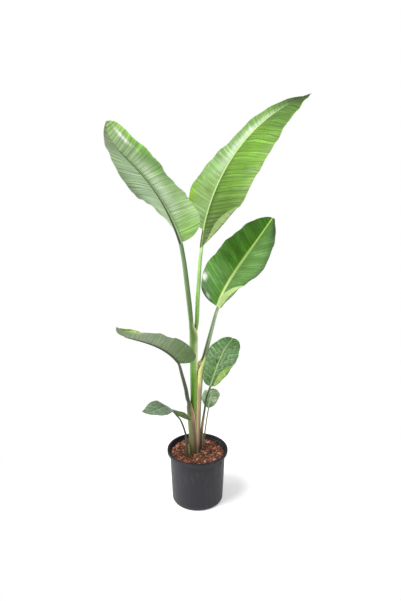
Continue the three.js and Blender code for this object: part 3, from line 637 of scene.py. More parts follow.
leaf5 = {
    "rows": 150, "cadRows": 24,
    "rib": [[50, 75, 466], [72, 89, 525], [89, 134, 588], [142, 176, 628]],
    "roll": [-3, 7, -4], "ridge": [1.2, 6, 0.5, 15],
    "plus": {
        "width": 74, "fold": [17, 9, 11], "curl": [-13, -17, -4], "round": 0.42, "taper": 0.52, "sharp": 2.4,
        "blunt": 0.65, "slant": 0.39, "lobe": 11, "lobeEnd": 0.29, "early": 0.6, "wave": [2, 80, 0],
        "hem": [25, 0.38, 155],
        # The second patch here, dark near the joint beside the turned hem, is painted shade.
        "patches": [[0.5, 0.5, 0.4, 0.7, (128, 160, 118), 0.75], [0.1, 0.3, 0.14, 0.4, (58, 78, 40), 0.7]],
    },
    "minus": {
        "width": 62, "fold": [14, 16, 7], "curl": [-17, -9, -4], "round": 0.42, "taper": 0.47, "sharp": 2.4,
        "blunt": 0.65, "slant": 0.17, "lobe": 15, "lobeEnd": 0.29, "early": 0.6, "wave": [2, 70, 60],
        "patches": [[0.12, 0.6, 0.16, 0.5, (60, 98, 40), 0.6]],
    },
    "keel": [1.4, 3],
    "rings": [
        [198, 13, 26.5, 4.8, 2.5, 1.6, 105], [250, 14, 23, 4.8, 2.5, 1.6, 104],
        [302, 16.5, 20, 4.8, 2.5, 1.6, 102], [345, 21, 19.5, 4.4, 2.6, 1.6, 100],
        [366, 24.2, 24, 3, 3, 1.8, 96], [382, 27.2, 29.5, 1.8, 3.1, 2.4, 110],
        [424, 35, 47, 1.6, 3, 2.6, 118],
    ],
    "upper": (90, 132, 70), "under": (140, 168, 96), "hemTint": (166, 206, 102), "margin": (92, 124, 78),
    "midrib": [(176, 200, 128), (160, 190, 124)], "line": [4.5, 2], "keelTint": [(110, 140, 90)],
    "stalkTints": [[140, (150, 132, 118)], [260, (176, 150, 132)], [340, (206, 164, 128)],
                   [372, (100, 122, 80)], [466, (104, 128, 84)]],
    "marginTint": (200, 164, 134), "insideTint": (150, 128, 100),
    "look": {"fine": 1500.0, "coarse": 180.0, "pucker": 0.4, "lines": 0.24, "bump": 0.9,
             "crease": [-0.3, -0.3], "roughAbove": 0.42, "roughUnder": 0.45, "coat": 0.1,
             "coatRough": 0.25, "through": (200, 225, 100)},
}

leaf6 = {
    "rows": 120, "cadRows": 20,
    "rib": [[-78, -33, 397], [-131, -70, 493], [-151, -123, 438], [-205, -137, 470]],
    "roll": [4, -2, -3], "ridge": [0.9, 5, 0.25, 13],
    "plus": {
        "width": 49, "fold": [16, 9, 10], "curl": [-19, -16, -1], "round": 0.33, "taper": 0.47, "slant": 0.22,
        "lobe": 13, "lobeEnd": 0.36, "wave": [1.5, 70, 0],
        "patches": [[0.35, 0.3, 0.2, 0.4, (84, 104, 78), 0.6]],
    },
    "minus": {
        "width": 37, "fold": [58, -2, -2], "curl": [-17, -17, 1], "round": 0.12, "taper": 0.46, "slant": -0.1,
        "lobe": 62, "early": 0.5, "wave": [1.5, 70, 90],
        "patches": [[0.5, 0.5, 0.4, 0.8, (134, 150, 134), 0.7]],
    },
    "keel": [1.2, 2.8],
    "rings": [
        [198, -33, -14, 7.5, 3.5, 1.6, 105], [235, -37, -7, 7, 3.5, 1.6, 100], [262, -40, -6, 5, 4, 1.8, 88],
        [280, -43, -7.5, 2.6, 3.5, 2.2, 105], [298, -45.6, -9, 1.7, 3.2, 2.6, 118],
        [346, -57.5, -17, 1.5, 3, 2.6, 118], [378, -68.5, -26.5, 1.4, 2.9, 2.5, 116],
    ],
    "upper": (116, 140, 112), "under": (92, 112, 60), "margin": (172, 184, 168),
    "midrib": [(160, 178, 150)], "line": [3.4, 1.6], "keelTint": [(80, 92, 62)],
    "stalkTints": [[140, (88, 88, 62)], [240, (86, 92, 62)], [290, (70, 80, 56)], [397, (66, 78, 56)]],
    "bands": [[-0.9, 0.3, 205, 265, (214, 208, 168), 0.9]],
    "marginTint": (176, 172, 128), "insideTint": (110, 112, 80),
    "look": {"fine": 1500.0, "coarse": 170.0, "pucker": 0.2, "relief": 0.08, "through": (200, 220, 130)},
}

leaf7 = {
    "rows": 90, "cadRows": 16,
    "rib": [[44, 75, 368], [45, 99, 421], [67, 135, 399], [60, 126, 429]],
    "roll": [-1, -4, 2], "ridge": [0.7, 4, 0.2, 11],
    "plus": {
        "width": 37, "fold": [15, 14, 16], "curl": [-15, -13, 0], "round": 0.4, "taper": 0.53, "blunt": 0.6,
        "slant": 0.13, "lobe": 1, "wave": [1, 60, 0],
        "patches": [[0.5, 0.8, 0.4, 0.35, (204, 218, 194), 0.7], [0.1, 0.3, 0.14, 0.5, (64, 110, 52), 0.8]],
    },
    "minus": {
        "width": 34, "fold": [15, 13, 17], "curl": [-15, -15, 1], "round": 0.41, "taper": 0.5, "blunt": 0.6,
        "slant": 0.15, "lobe": -5, "lobeEnd": 0.29, "wave": [1, 60, 90],
        "patches": [[0.3, 0.5, 0.4, 0.7, (74, 108, 66), 0.9], [0.9, 0.5, 0.16, 0.8, (210, 222, 204), 0.7]],
    },
    "keel": [0.9, 1.8],
    "rings": [
        [198, 24, 53, 1.8, 2.2, 1.6, 115], [257, 28.5, 59, 1.4, 2, 1.6, 115],
        [282, 31.8, 63, 1.2, 1.9, 1.5, 115], [333, 38.5, 69, 1.1, 1.8, 1.5, 115],
    ],
    "upper": (152, 180, 140), "under": (150, 175, 120), "margin": (96, 124, 84),
    "midrib": [(186, 204, 168)], "line": [2.6, 1.2], "keelTint": [(110, 130, 90)],
    "stalkTints": [[140, (110, 118, 84)], [300, (160, 170, 140)], [368, (150, 165, 130)]],
    "marginTint": (170, 180, 140), "insideTint": (130, 145, 105),
    "look": {"fine": 1500.0, "coarse": 190.0, "mottle": 0.16, "pucker": 0.25, "lines": 0.16,
             "crease": [-0.35, -0.35], "roughAbove": 0.35, "coat": 0.1, "coatRough": 0.25,
             "through": (200, 220, 130), "passing": 0.2},
}


# The rib as a cubic curve through four control points, measured by its length
def ribCurve(leaf):
    share = np.linspace(0.0, 1.0, 1201)[:, None]
    a, b, c, d = np.array(leaf["rib"], float)
    left = 1 - share
    points = left**3 * a + 3 * left**2 * share * b + 3 * left * share**2 * c + share**3 * d
    direction = 3 * left**2 * (b - a) + 6 * left * share * (c - b) + 3 * share**2 * (d - c)
    travelled = np.concatenate([[0.0], np.cumsum(np.linalg.norm(np.diff(points, axis=0), axis=1))])
    return {"points": points, "direction": unit(direction), "travelled": travelled, "length": travelled[-1],
            "lean": unit((d - a) * [1, 1, 0]), "roll": leaf["roll"]}


# Normal faces back over the joint and up, square to the direction and turned by the roll;
# side is direction x normal
def frameAcross(direction, lean, roll):
    facing = 0.6 * up - lean
    facing = unit(facing - direction * np.sum(direction * facing, axis=-1, keepdims=True))
    turn = np.radians(roll)[..., None]
    normal = facing * np.cos(turn) + np.cross(direction, facing) * np.sin(turn)
    return normal, np.cross(direction, normal)


# Point and frame on the rib at a distance from the joint, carried straight on past either end
def ribAt(rib, distance):
    held = np.clip(distance, 0.0, rib["length"])
    points, direction = (np.stack([np.interp(held, rib["travelled"], rib[key][:, k]) for k in range(3)], -1)
                         for key in ("points", "direction"))
    direction = unit(direction)
    centre = points + direction * (distance - held)[..., None]
    share = held / rib["length"]
    normal, side = frameAcross(direction, rib["lean"], softAlong(rib["roll"], share))
    return centre, normal, side, share


# One half of a blade on a grid of rows (along the rib) and columns (out from it). The width grows as a
# quarter circle, then narrows as (1 - s^sharp)^blunt. The fold and curl angles, and past the margin the hem's
# turn, are summed outward: across = sum cos(angle), rising = sum sin(angle). Waves, ridges, pleats along the
# veins, a wavering lip and the groove over the midrib stand on that.
def bladeHalf(leaf, rib, key, sign, rowShare, columnShare, hemShare):
    build, half = bladeBuild, leaf[key]
    t = (rowShare**build["crowding"])[:, None]
    grown = np.maximum(0.0, (t - half["start"]) / (1 - half["start"]))
    rise = np.sqrt(1 - (1 - np.minimum(grown / half["round"], 1))**2)
    narrowed = np.maximum(0.0, (grown - half["taper"]) / (1 - half["taper"]))**half["sharp"]
    width = half["width"] * rise * np.maximum(1 - narrowed, 0.0)**half["blunt"]
    swing = np.minimum(grown / half["lobeEnd"], 1)**half["early"]
    shift = half["slant"] * width - half["lobe"] * np.sin(np.pi * swing)
    hemReach, hemEnd, hemTurn = half["hem"]
    hemWidth = hemReach * np.sin(np.pi * np.clip(t / hemEnd, 0, 1))
    y = width * columnShare[None, :]
    if hemReach:
        y = np.concatenate([y, width + hemWidth * hemShare[None, :]], axis=1)
    out = np.where(width > 0, np.minimum(y / np.maximum(width, 1e-6), 1.0), 0.0)
    distance = rib["length"] * t + shift * out**build["sweep"]
    share = np.clip(distance / rib["length"], 0, 1)
    groove = np.interp(share, [0, 1], build["channel"])
    bend = softAlong(half["fold"], share) + softAlong(half["curl"], share) * y / half["width"]
    past = (y - width + build["turnFrom"] * hemWidth) / np.maximum(build["turnOver"] * hemWidth, 1e-6)
    bend = bend * smooth(0.3 + 0.7 * y / groove) + np.where(hemWidth > 0, hemTurn * smooth(past), 0.0)
    angle = np.radians(bend)
    middle = (angle[:, 1:] + angle[:, :-1]) / 2
    stride = np.diff(y, axis=1)
    across, rising = (np.concatenate([np.zeros_like(width), np.cumsum(stride * part(middle), axis=1)], 1)
                      for part in (np.cos, np.sin))
    centre, normal, side, _ = ribAt(rib, distance)
    angle = np.where(width > 0, angle, 0.0)[..., None]
    face = normal * np.cos(angle) - sign * side * np.sin(angle)
    waveHeight, waveLength, wavePhase = half["wave"]
    ridgeHeight, ridgeCount, pleatHeight, pitch = leaf["ridge"]
    steep, bent = half["veins"]
    seed = leaf["number"] * 10 + sign
    wave = waveHeight * out**2 * np.sin(np.radians(360 * distance / waveLength + wavePhase))
    broad = ridgeHeight * np.sin(2 * np.pi * ridgeCount * rowShare)[:, None]
    vein = distance - steep * y - bent * y * y / half["width"]
    wander, wanderLength = build["wander"]
    uneven, unevenLength = build["uneven"]
    overtone, overtonePace = build["overtone"]
    lipHeight, lipLength = build["lip"]
    pace = vein / half.get("pitch", pitch) + wander * waver(vein, seed + 3, wanderLength)
    strength = 1 - uneven + uneven * waver(vein + 0.6 * y, seed + 5, unevenLength)
    pleat = np.sin(2 * np.pi * pace) + overtone * np.sin(2 * np.pi * overtonePace * pace + 1)
    pleat = pleat * strength
    fine = pleatHeight * pleat * smooth(y / build["pleatFrom"]) * (1 - 0.5 * out**4)
    lip = lipHeight * waver(distance, seed + 7, lipLength) * easeUp(out, 0.8, 0.2)
    held = smooth(out / 0.35) * width / half["width"]
    sunk = build["sunk"] * (1 - smooth(y / groove)) * np.interp(share, [0, 1], [1.0, build["sunkLeft"]])
    over = (wave + broad + fine + lip) * held - sunk
    points = centre + side * (sign * across)[..., None] + normal * rising[..., None]
    points = points + face * over[..., None]
    hemPart = np.where(y > width, (y - width) / np.maximum(hemWidth, 1e-6), 0.0)
    return {"points": points, "face": face, "vein": vein, "reach": sign * y, "out": out + hemPart,
            "pleat": pleat, "pace": pace, "share": share, "half": np.full_like(y, sign)}


# Tint of a blade: face colour, then its patches as soft ovals, some of them painted sheen, highlights and
# shade, painted light and shade along the pleats, the margin, the midrib line and below the turned hem.
# The fourth value is how far veins and creases show.
def bladeTint(leaf, grid, above):
    tint = np.broadcast_to(linear(leaf["upper"] if above else leaf["under"]), grid["out"].shape + (3,))
    if above == leaf["patchAbove"]:
        for key, sign in (("minus", -1), ("plus", 1)):
            for share, out, sizeShare, sizeOut, colour, strength in leaf[key]["patches"]:
                far = ((grid["share"] - share) / sizeShare)**2 + ((grid["out"] - out) / sizeOut)**2
                tint = mix(tint, linear(colour), strength * np.exp(-1.2 * far) * (grid["half"] == sign))
    # Painted light and shade: each face lighter where the pleats rise toward it and darker where they sink
    relief = leaf["look"]["relief"] * grid["pleat"] * smooth(np.abs(grid["reach"]) / 10)
    tint = tint * np.exp(relief if above else -relief)[..., None]
    tint = mix(tint, linear(leaf["margin"]), 0.55 * easeUp(grid["out"], 0.97, 0.03))
    lineWidth = np.interp(grid["share"], [0, 1], leaf["line"])
    near = 0.9 * (1 - easeUp(np.abs(grid["reach"]) / lineWidth, 0.5, 0.5))
    near = near * (1 - easeUp(grid["share"], leaf["lineFades"], 0.3))
    midrib = mix(linear(leaf["midrib"][0]), linear(leaf["midrib"][-1]), smooth(grid["share"]))
    tint = mix(tint, midrib, near)
    over = easeUp(grid["out"], 1, 0.2) * (not above)
    tint = mix(tint, linear(leaf.get("hemTint", leaf["under"])), over)
    return np.concatenate([tint, ((1 - near) * (1 - 0.6 * over))[..., None]], axis=-1)


# A table of the upper face and then one of the face below, joined round the margin
def bothFaces(above, below):
    return np.concatenate([above, below[:, ::-1]], axis=1)


# A whole blade: rows from margin to margin over the rib, once above and once below, closed at the edges
def makeBlade(leaf, rib):
    build = bladeBuild
    rowShare = np.linspace(0.0, 1.0, leaf["rows"] + 1)
    columnShare = np.linspace(0.0, 1.0, build["columns"] + 1)**build["crowding"]
    hemShare = np.linspace(0.0, 1.0, build["hemColumns"] + 1)[1:]
    minus, plus = (bladeHalf(leaf, rib, key, sign, rowShare, columnShare, hemShare)
                   for key, sign in (("minus", -1), ("plus", 1)))
    grid = {key: np.concatenate([minus[key][:, :0:-1], plus[key]], axis=1) for key in minus}
    face = unit(grid["face"])
    _, normal, _, _ = ribAt(rib, rib["length"] * rowShare**build["crowding"])
    face[0], face[-1] = normal[0], normal[-1]
    thick = build["thickness"] * (1 - build["thinned"] * easeUp(grid["out"], 0.85, 0.15))[..., None]
    points = bothFaces(grid["points"] + face * thick / 2, grid["points"] - face * thick / 2)
    points = np.clip(points, boxLow + build["inset"], boxHigh - build["inset"])
    place = np.stack([grid["vein"] * mm, grid["reach"] * mm, grid["out"]], -1)
    tint = bothFaces(bladeTint(leaf, grid, True), bladeTint(leaf, grid, False))
    above = bothFaces(np.ones_like(grid["out"]), np.zeros_like(grid["out"]))
    piece = meshPiece(
        leaf["name"] + "_blade_surface", points.reshape(-1, 3), ringQuads(*points.shape[:2]),
        bladeMaterial(leaf["name"].replace("_", " ") + " blade", leaf["look"], leaf["number"]),
        {"leafPlace": bothFaces(place, place).reshape(-1, 3), "tint": tint.reshape(-1, 4),
         "above": above.ravel(), "pace": bothFaces(grid["pace"], grid["pace"]).ravel()})
    finish(piece, leaf["slot"], leaf["name"] + "_blade")


# Curve through the stations: cubic pieces whose tangents come from the root of each chord's length
def stationCurve(stations, place):
    padded = np.vstack([2 * stations[0] - stations[1], stations, 2 * stations[-1] - stations[-2]])
    first = np.clip(np.floor(place).astype(int), 0, len(stations) - 2)
    share = (place - first)[:, None]
    p = [padded[first + k] for k in range(4)]
    d = [np.sqrt(np.linalg.norm(p[k + 1] - p[k], axis=1))[:, None] for k in range(3)]
    start = ((p[1] - p[0]) / d[0] - (p[2] - p[0]) / (d[0] + d[1]) + (p[2] - p[1]) / d[1]) * d[1]
    end = ((p[2] - p[1]) / d[1] - (p[3] - p[1]) / (d[1] + d[2]) + (p[3] - p[2]) / d[2]) * d[1]
    two = -3 * p[1] + 3 * p[2] - 2 * start - end
    three = 2 * p[1] - 2 * p[2] + start + end
    points = p[1] + start * share + two * share**2 + three * share**3
    return points, unit(start + 2 * two * share + 3 * three * share**2)


# Sections of a stalk at close steps: the stations below the joint, then the keel under the blade,
# which hugs the fold of the two halves and slims toward the tip
def stalkSections(leaf, rib):
    build, length = stalkBuild, rib["length"]
    rings = np.array([[build["foot"], *leaf["rings"][0][1:]], *leaf["rings"]], float)
    onAxis = (rings[:, 1] == 0) & (rings[:, 2] == 0)
    for k in (1, 2):
        rings[onAxis, k] = np.interp(rings[onAxis, 0], bundle[:, 0], bundle[:, k])
    starts = (np.arange(0, leaf["cadRows"], 2) / leaf["cadRows"])**bladeBuild["crowding"]
    lastKeel = starts[starts <= build["keelEnd"]].max()
    keelCount = int(length * lastKeel / build["step"]) + 2
    keelShare = np.concatenate([[0.0], np.linspace(starts[1] * 0.25, lastKeel, keelCount)])
    centre, normal, side, share = ribAt(rib, length * keelShare)
    foldPlus, foldMinus = (softAlong(leaf[key]["fold"], share, 0.04) for key in ("plus", "minus"))
    steepest = np.radians(np.maximum(np.abs(foldPlus), np.abs(foldMinus)))
    drop = (build["cadThickness"] / 2 + build["keelGap"]) / np.cos(steepest)
    slimmed = 1 + (build["keelTip"] - 1) * share / build["keelEnd"]
    inner, wall = (thickness * slimmed for thickness in leaf["keel"])
    keel = {"inner": inner, "back": wall, "edge": wall, "plus": 90 + foldPlus, "minus": 90 + foldMinus,
            "centre": centre - normal * drop[:, None], "normal": normal, "side": side,
            "keel": np.ones(len(share))}
    nextCentre, nextNormal, _, _ = ribAt(rib, np.array([length * starts[1]]))
    stations = np.vstack([rings[:, [1, 2, 0]], keel["centre"][:1], nextCentre - nextNormal * drop[0]])
    gaps = np.linalg.norm(np.diff(stations, axis=0), axis=1)[:len(rings)]
    steps = np.maximum(2, np.round(gaps / build["step"])).astype(int)
    place = np.concatenate([np.arange(n) / n + i for i, n in enumerate(steps)])
    points, direction = stationCurve(stations, place)
    buried = (1 - smooth(place - 0.2))[:, None]
    direction = unit(direction * (1 - buried) + up * buried)
    normal, side = frameAcross(direction, rib["lean"], leaf["roll"][0] * (place / len(rings))**2)
    below = {key: easedAlong(place, [*rings[:, k], keel[key][0]])
             for key, k in {"inner": 3, "back": 4, "edge": 5, "plus": 6, "minus": 6}.items()}
    below.update({"centre": points, "normal": normal, "side": side, "keel": np.zeros(len(place))})
    return {key: np.concatenate([below[key], keel[key]]) for key in below}


# Tint of a stalk: by height, then bands along it, the inside of a sheath, its margin, and the keel's sides
def stalkTint(leaf, cut, place, isInner, height):
    heights, colours = zip(*leaf["stalkTints"])
    tint = np.stack([np.interp(height, heights, linear(colours)[:, k]) for k in range(3)], -1)
    fade = stalkBuild["bandFade"]
    for middle, reach, low, high, colour, strength in leaf["bands"]:
        amount = np.exp(-1.2 * ((place - middle) / reach)**2) * easeUp(height, low, fade)
        tint = mix(tint, linear(colour), strength * amount * smooth((high - height) / fade) * (1 - isInner))
    sheath = (1 - cut["keel"]) * easeUp(cut["inner"], 5, 4)
    tint = mix(tint, linear(leaf["insideTint"]), isInner * sheath)
    tint = mix(tint, linear(leaf["marginTint"]), easeUp(np.abs(place), 0.88, 0.12) * sheath)
    keelTint = mix(linear(leaf["keelTint"][0]), linear(leaf["keelTint"][-1]), easeUp(place, -0.6, 0.3))
    tint = mix(tint, keelTint, cut["keel"])
    return np.concatenate([tint, np.ones_like(tint[..., :1])], -1)


# A stalk: each section runs round the back from margin to margin outside, then back inside. The wall is
# edge + (back - edge) * cos^2, its lips are rounded and its back is ribbed by fine sines.
def makeStalk(leaf, rib):
    build, cut = stalkBuild, stalkSections(leaf, rib)
    even = np.linspace(-1, 1, build["outerPoints"])
    outer = 0.5 * np.sin(even * np.pi / 2) + 0.5 * even
    place = np.concatenate([outer, np.linspace(1, -1, build["innerPoints"])])[None, :]
    isInner = (np.arange(place.size) >= len(outer))[None, :] * 1.0
    steps = np.linalg.norm(np.diff(cut["centre"], axis=0), axis=1)
    travelled = np.concatenate([[0.0], np.cumsum(steps)])[:, None]
    centre, normal, side = (cut.pop(key)[:, None] for key in ("centre", "normal", "side"))
    cut = {key: values[:, None] for key, values in cut.items()}
    angle = np.radians(place * np.where(place < 0, cut["minus"], cut["plus"]))
    lip = easeUp(np.abs(place), build["round"], 1 - build["round"])
    wall = cut["edge"] + (cut["back"] - cut["edge"]) * np.cos(np.pi / 2 * place)**2
    wall = wall * (1 - build["thinned"] * lip)
    drift, driftLength = build["fibreDrift"]
    fibre = np.sin(place * build["fibres"] + drift * waver(travelled, 3, driftLength))
    outside = wall + build["fibre"] * fibre * (1 - lip) * cut["back"] / 6
    radius = cut["inner"] + np.where(isInner > 0, build["rolled"] * lip * cut["edge"], outside)
    outward = side * np.sin(angle)[..., None] - normal * np.cos(angle)[..., None]
    points = centre + outward * radius[..., None]
    tint = stalkTint(leaf, cut, place, isInner, points[..., 2])
    coordinates = np.stack(np.broadcast_arrays(angle * build["spread"], travelled * mm, leaf["number"]), -1)
    caps = capFaces(build["outerPoints"], build["innerPoints"])
    faces = np.vstack([ringQuads(*angle.shape), caps[:, ::-1], caps + (len(angle) - 1) * place.size])
    piece = meshPiece(
        leaf["name"] + "_stalk_surface", points.reshape(-1, 3), faces,
        stalkMaterial(leaf["name"].replace("_", " ") + " stalk", stalkLook),
        {"stalkPlace": coordinates.reshape(-1, 3), "tint": tint.reshape(-1, 4)}, creaseAngle=60)
    finish(piece, "stalk", leaf["name"] + "_stalk")


# Faces that close the end of a section between its outer and inner arcs. Where the inner arc has fewer
# points, a face has two corners alike and closes to a triangle when doubles are merged.
def capFaces(outerCount, innerCount):
    outer = np.arange(outerCount)
    innerOf = outerCount + innerCount - 1 - np.round(outer * (innerCount - 1) / (outerCount - 1)).astype(int)
    return np.stack([outer[:-1], outer[1:], innerOf[1:], innerOf[:-1]], -1)


for number, given in enumerate((leaf1, leaf2, leaf3, leaf4, leaf5, leaf6, leaf7), 1):
    leaf = {**plainLeaf, **given, "name": f"leaf_{number}", "number": number}
    for key, plain in (("look", bladeLook), ("plus", plainHalf), ("minus", plainHalf)):
        leaf[key] = {**plain, **given[key]}
    rib = ribCurve(leaf)
    makeBlade(leaf, rib)
    makeStalk(leaf, rib)
    print("grown", leaf["name"])


potShape = {
    "height": 228, "rimRadius": 120, "rimBand": 12, "lipRadius": 110.5, "wallTop": 109.2, "baseRadius": 101.3,
    "wall": 2.7, "floor": 6.5, "floorCorner": 10, "recess": 3, "pad": 35, "footInner": 80, "footOuter": 91,
    "segments": 160, "rounding": 1.0, "creaseAngle": 35,
    "grooves": [24, 150, 192, 198], "grooveDepth": 0.5,
    "drainRadius": 6, "drainRing": 58, "drainHeight": 3, "drains": 6,
    "ventRadius": 4.5, "ventHeight": 199, "ventAngles": [-164, -33, 98], "holeDepth": 18,
    "plastic": (33, 32, 39), "dust": (80, 74, 70), "dusty": 0.55, "streaks": (60.0, 60.0, 5.0),
    "grain": 900.0, "grainShade": 0.1, "rough": [0.42, 0.58], "specular": 0.3, "bump": [0.25, 0.0005],
}


# Radius of the inner wall, which widens evenly from the corner of the floor up to the rim band
def innerWallAt(height):
    s = potShape
    share = (height - s["floorCorner"]) / (s["height"] - s["rimBand"] - 2 - s["floorCorner"])
    return s["baseRadius"] + (s["wallTop"] - s["baseRadius"]) * share - s["wall"]


# Radius of the outer wall, which widens evenly from 9 mm up to the rim band
def outerWallAt(height):
    s = potShape
    wider = s["wallTop"] - s["baseRadius"]
    return s["baseRadius"] + wider * (height - 9) / (s["height"] - s["rimBand"] - 11)


# Rounds each corner of a profile: it gives way to a short curve a*(1-s)^2 + 2*c*s*(1-s) + b*s^2
def roundedProfile(corners, size, steps=4):
    corners = np.array(corners, float)
    share = np.linspace(0, 1, steps + 1)[:, None]
    points = [corners[0]]
    for before, corner, after in zip(corners[:-2], corners[1:-1], corners[2:]):
        a, b = (corner + min(size, 0.45 * np.linalg.norm(end - corner)) * unit(end - corner)
                for end in (before, after))
        points.extend(a * (1 - share)**2 + 2 * corner * share * (1 - share) + b * share**2)
    points.append(corners[-1])
    return np.array(points)


# Turns a profile of radius and height round the upright axis
def turned(profile, segments):
    angle = np.linspace(0, 2 * np.pi, segments, endpoint=False)[None, :]
    radius, height = profile[:, 0][:, None], profile[:, 1][:, None]
    return np.stack(np.broadcast_arrays(radius * np.cos(angle), radius * np.sin(angle), height), -1)


# Dark plastic with dust in upright streaks and round the foot
def potMaterial():
    s = potShape
    material, tree, shader = newMaterial("moulded pot plastic")
    place = objectPlace(tree)
    grain = useGroup(tree, grainGroup, place, Scale=s["grain"])
    streak = noise(tree, stretched(tree, place, s["streaks"]), scale=1.0, detail=5.0, roughness=0.65)
    dust = times(tree, remap(tree, streak, 0.5, 0.75), remap(tree, grain["Broad"], 0.35, 0.65))
    plastic, dusty = rgba(s["plastic"]), rgba(s["dust"])
    colour = blend(tree, times(tree, dust, s["dusty"]), plastic, dusty)
    low = remap(tree, addNode(tree, "SeparateXYZ", {0: place}).outputs[2], 0.0, 0.03, 0.35, 0.0)
    colour = blend(tree, times(tree, low, grain["Middle"]), colour, dusty)
    height = maths(tree, "ADD", grain["Fine"], times(tree, streak, 0.5))
    feedShader(tree, shader, {
        "Base Color": shade(tree, colour, grain["Middle"], s["grainShade"]),
        "Normal": bump(tree, height, *s["bump"]),
        "Roughness": spread(tree, grain["Middle"], *s["rough"]), "Specular IOR Level": s["specular"]})
    return material


# The pot: a profile from the middle of the base, over the foot, wall, grooves and rim, and back down inside
# to the floor, turned round; drain holes and vents are cut out of it
def makePot():
    s = potShape
    bandFoot, floorWall = s["height"] - s["rimBand"], innerWallAt(s["floorCorner"])
    rim, lip, top = s["rimRadius"], s["lipRadius"], s["height"]
    grooves = [[outerWallAt(height + rise) - depth, height + rise] for height in s["grooves"]
               for rise, depth in ((0, 0), (1, s["grooveDepth"]), (2, 0))]
    corners = [
        [0.0, 0], [s["pad"], 0], [s["pad"] + 2, s["recess"]], [s["footInner"] - 2, s["recess"]],
        [s["footInner"], 0], [s["footOuter"], 0], [s["baseRadius"] - 3, 2.6], [s["baseRadius"], 9], *grooves,
        [s["wallTop"], bandFoot - 2], [lip + 1.5, bandFoot + 1], [lip + 2, top - 3],
        [rim - 2.5, top - 3], [rim - 2.2, bandFoot], [rim, bandFoot], [rim, top - 1.5], [rim - 1.5, top],
        [lip + 1.5, top], [lip, top - 1.5], [lip - 0.4, bandFoot + 2],
        [innerWallAt(bandFoot - 4), bandFoot - 4],
        [floorWall, s["floorCorner"]], [floorWall - 3.3, s["floor"]], [0.0, s["floor"]],
    ]
    points = turned(roundedProfile(corners, s["rounding"]), s["segments"])
    pot = meshPiece("pot_body", points.reshape(-1, 3), ringQuads(*points.shape[:2]), potMaterial(),
                    creaseAngle=s["creaseAngle"])
    drainTurns = [2 * math.pi * (k + 0.5) / s["drains"] for k in range(s["drains"])]
    ventTurns = [math.radians(degrees) for degrees in s["ventAngles"]]
    holes = [(s["drainRadius"], s["drainRing"], s["drainHeight"], turn, False) for turn in drainTurns]
    holes += [(s["ventRadius"], s["wallTop"] - 3, s["ventHeight"], turn, True) for turn in ventTurns]
    for radius, ring, height, angle, level in holes:
        bpy.ops.mesh.primitive_cylinder_add(
            vertices=28, radius=radius * mm, depth=s["holeDepth"] * mm,
            location=(ring * math.cos(angle) * mm, ring * math.sin(angle) * mm, height * mm),
            rotation=(0, math.pi / 2, angle) if level else (0, 0, 0))
        cutter = bpy.context.active_object
        modifier = pot.modifiers.new("hole", "BOOLEAN")
        modifier.operation, modifier.solver, modifier.object = "DIFFERENCE", "EXACT", cutter
        bpy.context.view_layer.objects.active = pot
        bpy.ops.object.modifier_apply(modifier=modifier.name)
        bpy.data.objects.remove(cutter)
    pot.data.set_sharp_from_angle(angle=math.radians(s["creaseAngle"]))
    finish(pot, "pot", "pot")


makePot()
print("pot turned")

soilShape = {
    "top": 208, "swell": 3, "dish": 4, "lump": 0.9, "gap": 0.3, "rings": 90, "segments": 200,
    "stops": [(0.30, (40, 24, 18)), (0.46, (96, 56, 42)), (0.56, (134, 84, 64)), (0.68, (180, 134, 104))],
    # deep is a near-black painted shade; below these heights the bed turns to it, in its lowest hollows and
    # down the sides seen through the vents
    "deep": (14, 11, 9), "shadeBelow": [0.199, 0.204],    # heights in metres between which it turns dark
    "grain": 700.0, "cells": 220.0, "rough": [0.75, 0.95], "bump": [0.9, 0.002],
    "stems": [[-8, 6, 21], [13, 26.5, 7.5], [-33, -14, 11], [24, 53, 4]],    # x, y and radius kept clear
}

chipShape = {
    "count": 4200, "seed": 11, "size": [1.2, 4.6], "tilt": 0.7,
    "stretch": [[1, 0.9], [0.6, 0.5], [0.3, 0.35]],    # length, width, thickness: least, and most added
    "shaken": [0.35, 0.16],      # how far corners are moved, along their own line and every way
    "tints": [(104, 56, 42), (140, 84, 62), (168, 112, 84), (62, 36, 28), (206, 166, 128)],
    "shares": [0.32, 0.28, 0.18, 0.16, 0.06], "brighter": 1.14,
    "grain": 1400.0, "grainShade": 0.3, "rough": [0.7, 0.9], "bump": [0.8, 0.001],
}


# Height of the surface over x and y: the slow swell of the solid, then small lumps
def soilHeight(x, y):
    s = soilShape
    swell = np.sin(x / 17 + 1) * np.cos(y / 21) + 0.4 * np.sin((x - 2 * y) / 13)
    small = np.sin(x / 4.1 + 2 * np.sin(y / 7)) * np.sin(y / 3.7 + 1.5 * np.sin(x / 6))
    small = small + 0.6 * np.sin(x / 2.3 - y / 2.9)
    dish = s["dish"] * ((x * x + y * y) / 104**2 - 0.5)
    return s["top"] + s["swell"] * swell / 1.4 + dish + s["lump"] * small


